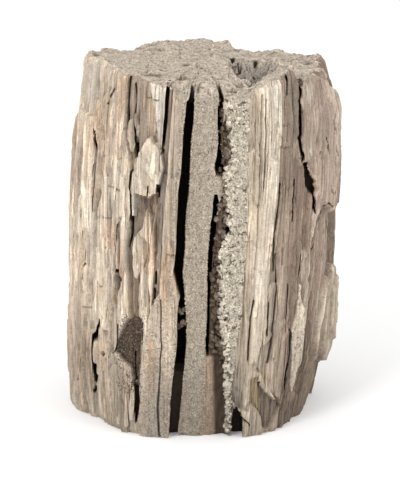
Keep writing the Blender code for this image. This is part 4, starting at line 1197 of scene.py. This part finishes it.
def make_grains():
    """Grains of sand on the slab, the crust, the crack lips and the top."""
    draw = np.random.RandomState(GRAIN_SEED)
    count = GRAIN_COUNT
    height = draw.uniform(*GRAIN_HEIGHTS, count)
    kind = draw.uniform(0.0, 1.0, count)
    slab = np.array(RELIEF["sandy slab"][1:], dtype=float).T
    band = np.array(RELIEF["crust band"][1:], dtype=float).T
    left = np.interp(height, slab[0], slab[1])
    right = np.interp(height, slab[0], slab[2])
    band_left = np.interp(height, band[0], band[1])
    band_right = np.interp(height, band[0], band[2])
    near = np.abs(draw.normal(0.0, LIP_SCATTER, count))
    on_slab = left + draw.uniform(0.0, 1.0, count) * (right - left)
    on_crust = band_left + draw.uniform(*GRAIN_BAND_SPREAD, count) * (band_right - band_left)
    limits = (LEFT_LIP, RIGHT_LIP, FAR_LIP_SHARE, SLAB, CRUST_SHARE, RIDGE_SHARE)
    girth = np.select([kind < limit for limit in limits],
                      [left + near, right - near, left - FAR_LIP - near, on_slab, on_crust,
                       draw.uniform(*RIDGE_FOOT, count)], draw.uniform(*GRAINY_HOLLOW, count))
    height = np.where(kind > CRUST_SHARE, height * RIDGE_FOOT_HEIGHT, height)
    height = np.where(kind > RIDGE_SHARE, HOLLOW_FOOT + height * HOLLOW_HEIGHT, height)
    angle = girth / GIRTH_RADIUS
    bark = Bark(angle, height)
    closed = bark.closed_relief()
    relief = bark.opened(closed)
    on_slope = (girth > SLOPE_FOOT[0]) & (height < SLOPE_FOOT[1])
    shallow = closed - relief < np.where(on_slope, STEEPEST_ON_SLOPE, STEEPEST_FOR_GRAINS)
    keep = (relief > DEEPEST_GRAIN) & shallow & under_top(on_trunk(girth, height, relief))
    # Grains in cracks and slits take the painted shade there
    deep = bark.openings()[keep]
    angle, height, relief, girth = angle[keep], height[keep], relief[keep], girth[keep]
    radius = draw.uniform(*GRAIN_RADII, len(angle))
    places = on_trunk(girth, height, relief - GRAINS_SUNK * radius)
    sizes = radius[:, None] * draw.uniform(*UNEVEN_SIZES, (len(radius), 3))
    mesh, corners = joined_copies("sand_grains", small_ball("grain", 1), places,
                                  random_turns(draw, len(radius)), sizes)
    shade = draw.uniform(*GRAIN_SHADES, len(radius))[:, None]
    on_band = ramp(girth - np.interp(height, band[0], band[1]), *BAND_BLEND)[:, None]
    tint = mixed(np.array(SAND), CRUST, on_band) * shade
    # Grains in the grainy hollow take the painted shade colour
    tint = np.where((girth < GRAINY_HOLLOW[1])[:, None], np.array(SHADE) * shade, tint)
    # Painted shade darkens the grains towards the foot
    tint = np.repeat(tint * foot_shade(height)[:, None], corners, axis=0)
    tint = np.clip(tint, 0.0, BRIGHTEST_GRAIN)
    points = points_of(mesh)
    everywhere = np.ones(len(points))
    store_looks(mesh, tint, points, everywhere * GRAIN_SANDINESS, 0 * everywhere, np.repeat(deep, corners))
    finish_piece("sand_grains", mesh, smooth=False)


def make_shards():
    """Thin splinters that stand a little off the bark, each a closed blade along the grain."""
    draw = np.random.RandomState(SHARD_SEED)
    count = SHARD_COUNT
    girth = draw.uniform(-GIRTH / 2, GIRTH / 2, count)
    front = draw.uniform(0.0, 1.0, count) < SHARD_FRONT_SHARE
    girth = np.where(front, draw.uniform(*SHARD_FRONT, count), girth)
    long = draw.uniform(*SHARD_LENGTHS, count)
    middle = draw.uniform(SHARD_MIDDLES[0], SHARD_MIDDLES[1] - long)
    wide = draw.uniform(*SHARD_WIDTHS, count)
    thick = draw.uniform(*SHARD_THICKNESSES, count)
    leaning = (girth > LEANING_GIRTHS[0]) * (girth < LEANING_GIRTHS[1])
    lean = draw.uniform(-SHARD_LEAN, SHARD_LEAN, count) + RIGHT_LEAN * leaning
    steps = np.linspace(-1.0, 1.0, SHARD_STEPS)
    sides = len(SHARD_ACROSS)
    taper = (1.0 - steps ** 2) ** SHARD_TAPER + SHARD_TIP
    ragged = draw.uniform(*SHARD_EDGES, (count, SHARD_STEPS))
    along = middle[:, None] + steps[None] * long[:, None]
    centre = girth[:, None] + lean[:, None] * (along - middle[:, None])
    half = wide[:, None] * taper[None] * ragged
    along = np.clip(along, *SHARD_HEIGHTS)
    g = centre[:, :, None] + half[:, :, None] * np.array(SHARD_ACROSS)
    z = np.repeat(along[:, :, None], sides, axis=2)
    base = Bark(centre.ravel() / GIRTH_RADIUS, along.ravel())
    relief = base.relief().reshape(count, SHARD_STEPS)
    floor = np.median(relief, axis=1, keepdims=True)
    flat = np.abs(relief - floor).max(axis=1) < SHARD_STEEPEST
    wood = base.wood().reshape(count, SHARD_STEPS).min(axis=1)
    keep = (wood > SHARD_WOOD) & (floor[:, 0] > SHARD_DEEPEST) & flat
    lift = relief[:, :, None] + thick[:, None, None] * np.array(SHARD_RISE) * taper[None, :, None]
    g, z, lift = g[keep], z[keep], lift[keep]
    points = on_trunk(g.ravel(), z.ravel(), lift.ravel())
    faces = []
    for step in range(SHARD_STEPS - 1):
        for side in range(sides):
            a = step * sides + side
            b = step * sides + (side + 1) % sides
            faces.append((a, b, b + sides, a + sides))
    first = tuple(reversed(range(sides)))
    last = tuple((SHARD_STEPS - 1) * sides + side for side in range(sides))
    every = []
    for shard in range(int(keep.sum())):
        start = shard * SHARD_STEPS * sides
        every += [tuple(start + corner for corner in face) for face in faces + [first, last]]
    mesh = bpy.data.meshes.new("bark_shards")
    mesh.from_pydata((points * MM).tolist(), [], every)
    shape = bmesh.new()
    shape.from_mesh(mesh)
    bmesh.ops.recalc_face_normals(shape, faces=shape.faces[:])
    shape.to_mesh(mesh)
    shape.free()
    angle = np.arctan2(points[:, 0], -points[:, 1])
    bark = Bark(angle, points[:, 2])
    shade = np.repeat(draw.uniform(*SHARD_SHADES, int(keep.sum())), SHARD_STEPS * sides)
    grain = np.stack([bark.grain_girth, np.hypot(points[:, 0], points[:, 1]), points[:, 2]], axis=1)
    none = np.zeros(len(points))
    tint = np.clip(bark.tint() * shade[:, None], 0.0, BRIGHTEST_SHARD)
    store_looks(mesh, tint, grain, none, none, none)
    finish_piece("bark_shards", mesh, smooth=False)


class Nodes:
    """Short ways to add and join shader nodes."""

    def __init__(self, name):
        self.material = bpy.data.materials.new(name)
        self.material.use_nodes = True
        self.tree = self.material.node_tree
        self.shader = self.tree.nodes["Principled BSDF"]

    def add(self, kind, **settings):
        node = self.tree.nodes.new(kind)
        for key, value in settings.items():
            setattr(node, key, value)
        return node

    def join(self, source, target):
        self.tree.links.new(source, target)

    def attribute(self, name, output):
        return self.add("ShaderNodeAttribute", attribute_name=name).outputs[output]

    def math(self, operation, first, second=None, third=None, clamp=False):
        node = self.add("ShaderNodeMath", operation=operation, use_clamp=clamp)
        for socket, value in zip(node.inputs, (first, second, third)):
            if value is None:
                continue
            if isinstance(value, (int, float)):
                socket.default_value = value
            else:
                self.join(value, socket)
        return node.outputs[0]

    def faded(self, factor, share):
        """A factor that counts in full where the share is 1 and is 1 where the share is 0."""
        return self.math("ADD", self.math("MULTIPLY", self.math("SUBTRACT", factor, 1.0), share), 1.0)

    def mix(self, factor, first, second, blend="MIX"):
        node = self.add("ShaderNodeMix", data_type="RGBA", blend_type=blend)
        node.clamp_factor = True
        for socket, value in ((node.inputs[0], factor), (node.inputs[6], first), (node.inputs[7], second)):
            if isinstance(value, tuple):
                socket.default_value = (*value, 1.0)
            elif isinstance(value, (int, float)):
                socket.default_value = value
            else:
                self.join(value, socket)
        return node.outputs[2]

    def stretched(self, vector, scale):
        node = self.add("ShaderNodeVectorMath", operation="MULTIPLY")
        self.join(vector, node.inputs[0])
        node.inputs[1].default_value = scale
        return node.outputs[0]

    def noise(self, vector, scale, detail, roughness=0.6):
        node = self.add("ShaderNodeTexNoise")
        self.join(vector, node.inputs["Vector"])
        node.inputs["Scale"].default_value = scale
        node.inputs["Detail"].default_value = detail
        node.inputs["Roughness"].default_value = roughness
        return node.outputs["Fac"]

    def remap(self, value, fade):
        node = self.add("ShaderNodeMapRange", clamp=True)
        self.join(value, node.inputs["Value"])
        for name, number in zip(("From Min", "From Max", "To Min", "To Max"), FADES[fade]):
            node.inputs[name].default_value = number
        return node.outputs["Result"]


# How the grain stretches the shader's patterns, and the patterns: scale in turns a metre, detail
# and roughness
FIBRE_STRETCH = (1.0, 0.6, 0.035)
WRINKLE_STRETCH = (1.0, 0.8, 0.22)
WIDE_STREAKS = (110.0, 3.0, 0.6)
FINE_STREAKS = (640.0, 4.0, 0.7)
WRINKLES = (260.0, 5.0, 0.75)
SPECKS = (620.0, 2.0, 0.8)
HOLES = (340.0, 2.0, 0.6)
PATCHES = (150.0, 4.0, 0.7)
DARK_PITS = (190.0, 2.5, 0.55)
BUMP_STRENGTH = 0.7
BUMP_DISTANCE = 0.0006
WRINKLE_BUMP = 2.4
CRACK_DARKNESS = 0.62
SPECKLE_ON_WOOD = 0.38
SHINE = 0.25

# How the patterns fade: from the first two values of a pattern to the last two
FADES = {
    "wide streaks": (0.32, 0.68, 0.93, 1.06), "fine streaks": (0.3, 0.7, 0.76, 1.18),
    "crack line": (0.0, 0.03, 1.0, 0.0), "cracked places": (0.48, 0.58, 0.0, 1.0),
    "wrinkles": (0.35, 0.5, 0.78, 1.03), "specks": (0.3, 0.7, 0.52, 1.40),
    "holes": (0.33, 0.41, 0.5, 1.03), "patches": (0.3, 0.7, 0.74, 1.20),
    "dark pits": (0.37, 0.43, 0.85, 0.0), "crease shade and edge highlight": (0.40, 0.60, 0.55, 1.30),
    "umber shade": (0.0, 0.6, 0.0, 0.92), "black": (0.5, 1.0, 0.0, 1.0), "dryness": (0.3, 0.7, 0.82, 0.98),
}

# Fine dark cracks between the fibres: scale and stretch along the grain
FIBRE_CRACKS = ((150.0, 0.022), (290.0, 0.0286))


def fossil_material():
    nodes = Nodes("fossil wood")
    grain = nodes.attribute("grain", "Vector")
    tint = nodes.attribute("tint", "Color")
    sandy = nodes.attribute("sandy", "Fac")
    crusty = nodes.attribute("crusty", "Fac")
    deep = nodes.attribute("deep", "Fac")
    grainy = nodes.math("ADD", sandy, crusty, clamp=True)
    wood = nodes.math("SUBTRACT", 1.0, grainy, clamp=True)

    along = nodes.stretched(grain, FIBRE_STRETCH)
    wide = nodes.noise(along, *WIDE_STREAKS)
    fine = nodes.noise(along, *FINE_STREAKS)
    streak = nodes.math("MULTIPLY", nodes.remap(wide, "wide streaks"), nodes.remap(fine, "fine streaks"))
    colour = nodes.mix(1.0, tint, nodes.faded(streak, wood), "MULTIPLY")

    crack_share = None
    for scale, stretch in FIBRE_CRACKS:
        moved = nodes.stretched(grain, (1.0, 0.6, stretch))
        apart = nodes.math("ABSOLUTE", nodes.math("SUBTRACT", nodes.noise(moved, scale, 2.0), 0.5))
        line = nodes.remap(apart, "crack line")
        here = nodes.remap(nodes.noise(moved, 0.3 * scale, 1.0), "cracked places")
        line = nodes.math("MULTIPLY", line, here)
        crack_share = line if crack_share is None else nodes.math("MAXIMUM", crack_share, line)
    crack_share = nodes.math("MULTIPLY", crack_share, wood)
    colour = nodes.mix(nodes.math("MULTIPLY", crack_share, CRACK_DARKNESS), colour, GREY_BROWN)

    ragged = nodes.noise(nodes.stretched(grain, WRINKLE_STRETCH), *WRINKLES)
    wrinkle = nodes.remap(ragged, "wrinkles")
    colour = nodes.mix(1.0, colour, nodes.faded(wrinkle, wood), "MULTIPLY")

    speck = nodes.noise(grain, *SPECKS)
    speckle = nodes.remap(speck, "specks")
    # Painted shade in tiny holes, as dark specks
    holes = nodes.remap(nodes.noise(grain, *HOLES), "holes")
    speckle = nodes.math("MULTIPLY", speckle, holes)
    soft = nodes.noise(grain, *PATCHES)
    speckle = nodes.math("MULTIPLY", speckle, nodes.remap(soft, "patches"))
    dry = nodes.math("ADD", nodes.math("MULTIPLY", grainy, 1 - SPECKLE_ON_WOOD), SPECKLE_ON_WOOD)
    colour = nodes.mix(1.0, colour, nodes.faded(speckle, dry), "MULTIPLY")

    # Painted shade in the pits between the crust's lumps
    pits = nodes.remap(nodes.noise(grain, *DARK_PITS), "dark pits")
    colour = nodes.mix(nodes.math("MULTIPLY", pits, crusty), colour, UMBER)

    # Painted shade in creases and hollows and a painted highlight on sharp edges, from how pointed the
    # surface is
    point = nodes.add("ShaderNodeNewGeometry").outputs["Pointiness"]
    rim_wear_and_edge_shading = nodes.remap(point, "crease shade and edge highlight")
    colour = nodes.mix(1.0, colour, rim_wear_and_edge_shading, "MULTIPLY")
    # Painted shade: cracks, slits, pits and knobs deep in the fissure turn umber, and the deepest turn black
    umber_shade = nodes.remap(deep, "umber shade")
    colour = nodes.mix(umber_shade, colour, UMBER)
    dark = nodes.remap(deep, "black")
    colour = nodes.mix(dark, colour, BLACK)
    nodes.join(colour, nodes.shader.inputs["Base Color"])

    rough = nodes.remap(speck, "dryness")
    nodes.join(rough, nodes.shader.inputs["Roughness"])
    nodes.shader.inputs["Specular IOR Level"].default_value = SHINE

    bump = nodes.add("ShaderNodeBump")
    bump.inputs["Strength"].default_value = BUMP_STRENGTH
    bump.inputs["Distance"].default_value = BUMP_DISTANCE
    height = nodes.math("ADD", nodes.math("MULTIPLY", fine, wood), nodes.math("MULTIPLY", speck, dry))
    height = nodes.math("ADD", height, nodes.math("MULTIPLY", ragged, WRINKLE_BUMP))
    height = nodes.math("SUBTRACT", height, crack_share)
    nodes.join(height, bump.inputs["Height"])
    nodes.join(bump.outputs["Normal"], nodes.shader.inputs["Normal"])
    return nodes.material


def make_log():
    mesh = thinned(wrapped_skin("fossil_log"), SKIN_TRIANGLES)
    saw_foot(mesh)
    paint_skin(mesh)
    mesh.shade_smooth()
    mesh.set_sharp_from_angle(angle=SHARP_ANGLE)
    finish_piece("fossil_log", mesh, smooth=False)


# The floor, the light and the camera
CAMERA_DISTANCE = 3.3
CAMERA_ELEVATION = math.radians(14.5)
CAMERA_TARGET_HEIGHT = 0.177
CAMERA_LEFT = 0.0035
CAMERA_DOWN = 0.015
FRAME_HEIGHT = 0.493
SENSOR = 36.0
FLOOR_SIZE = 14.0
FLOOR_DROP = 0.0002
FLOOR_WHITE = 0.9
FLOOR_ROUGHNESS = 0.95
FLOOR_GLOW = 0.1
WORLD_STRENGTH = 0.95

# Lamps: place, turn in degrees, size and power
LAMPS = {
    "key": ((-1.1, -2.0, 2.2), (48.0, 0.0, -29.0), 0.8, 30.0),
    "fill": ((2.0, -1.5, 1.6), (58.0, 0.0, 53.0), 1.2, 16.0),
}


def make_floor():
    bpy.ops.mesh.primitive_plane_add(size=FLOOR_SIZE, location=(0.0, 0.0, -FLOOR_DROP))
    floor = bpy.context.object
    floor.name = "studio_floor"
    nodes = Nodes("pale paper")
    nodes.shader.inputs["Base Color"].default_value = (FLOOR_WHITE, FLOOR_WHITE, FLOOR_WHITE, 1.0)
    nodes.shader.inputs["Roughness"].default_value = FLOOR_ROUGHNESS
    nodes.shader.inputs["Emission Color"].default_value = (1.0, 1.0, 1.0, 1.0)
    nodes.shader.inputs["Emission Strength"].default_value = FLOOR_GLOW
    floor.data.materials.append(nodes.material)


def make_camera():
    data = bpy.data.cameras.new("camera")
    data.sensor_fit = "VERTICAL"
    data.sensor_height = SENSOR
    data.lens = SENSOR * CAMERA_DISTANCE / FRAME_HEIGHT
    data.clip_end = 50.0
    camera = bpy.data.objects.new("camera", data)
    sine, cosine = math.sin(CAMERA_ELEVATION), math.cos(CAMERA_ELEVATION)
    camera.location = (-CAMERA_LEFT,
                       -CAMERA_DISTANCE * cosine - CAMERA_DOWN * sine,
                       CAMERA_TARGET_HEIGHT + CAMERA_DISTANCE * sine - CAMERA_DOWN * cosine)
    camera.rotation_euler = (math.radians(90.0) - CAMERA_ELEVATION, 0.0, 0.0)
    bpy.context.scene.collection.objects.link(camera)
    bpy.context.scene.camera = camera


def make_lights():
    world = bpy.data.worlds.new("white room")
    world.use_nodes = True
    background = world.node_tree.nodes["Background"]
    background.inputs["Color"].default_value = (1.0, 1.0, 1.0, 1.0)
    background.inputs["Strength"].default_value = WORLD_STRENGTH
    bpy.context.scene.world = world
    for name, (place, turn, size, power) in LAMPS.items():
        data = bpy.data.lights.new(name, "AREA")
        data.size = size
        data.energy = power
        lamp = bpy.data.objects.new(name, data)
        lamp.location = place
        lamp.rotation_euler = [math.radians(value) for value in turn]
        bpy.context.scene.collection.objects.link(lamp)


bpy.context.scene.view_settings.view_transform = "Standard"
make_floor()
make_camera()
make_lights()
FOSSIL = fossil_material()
make_log()
make_crust_lumps()
make_grains()
make_shards()
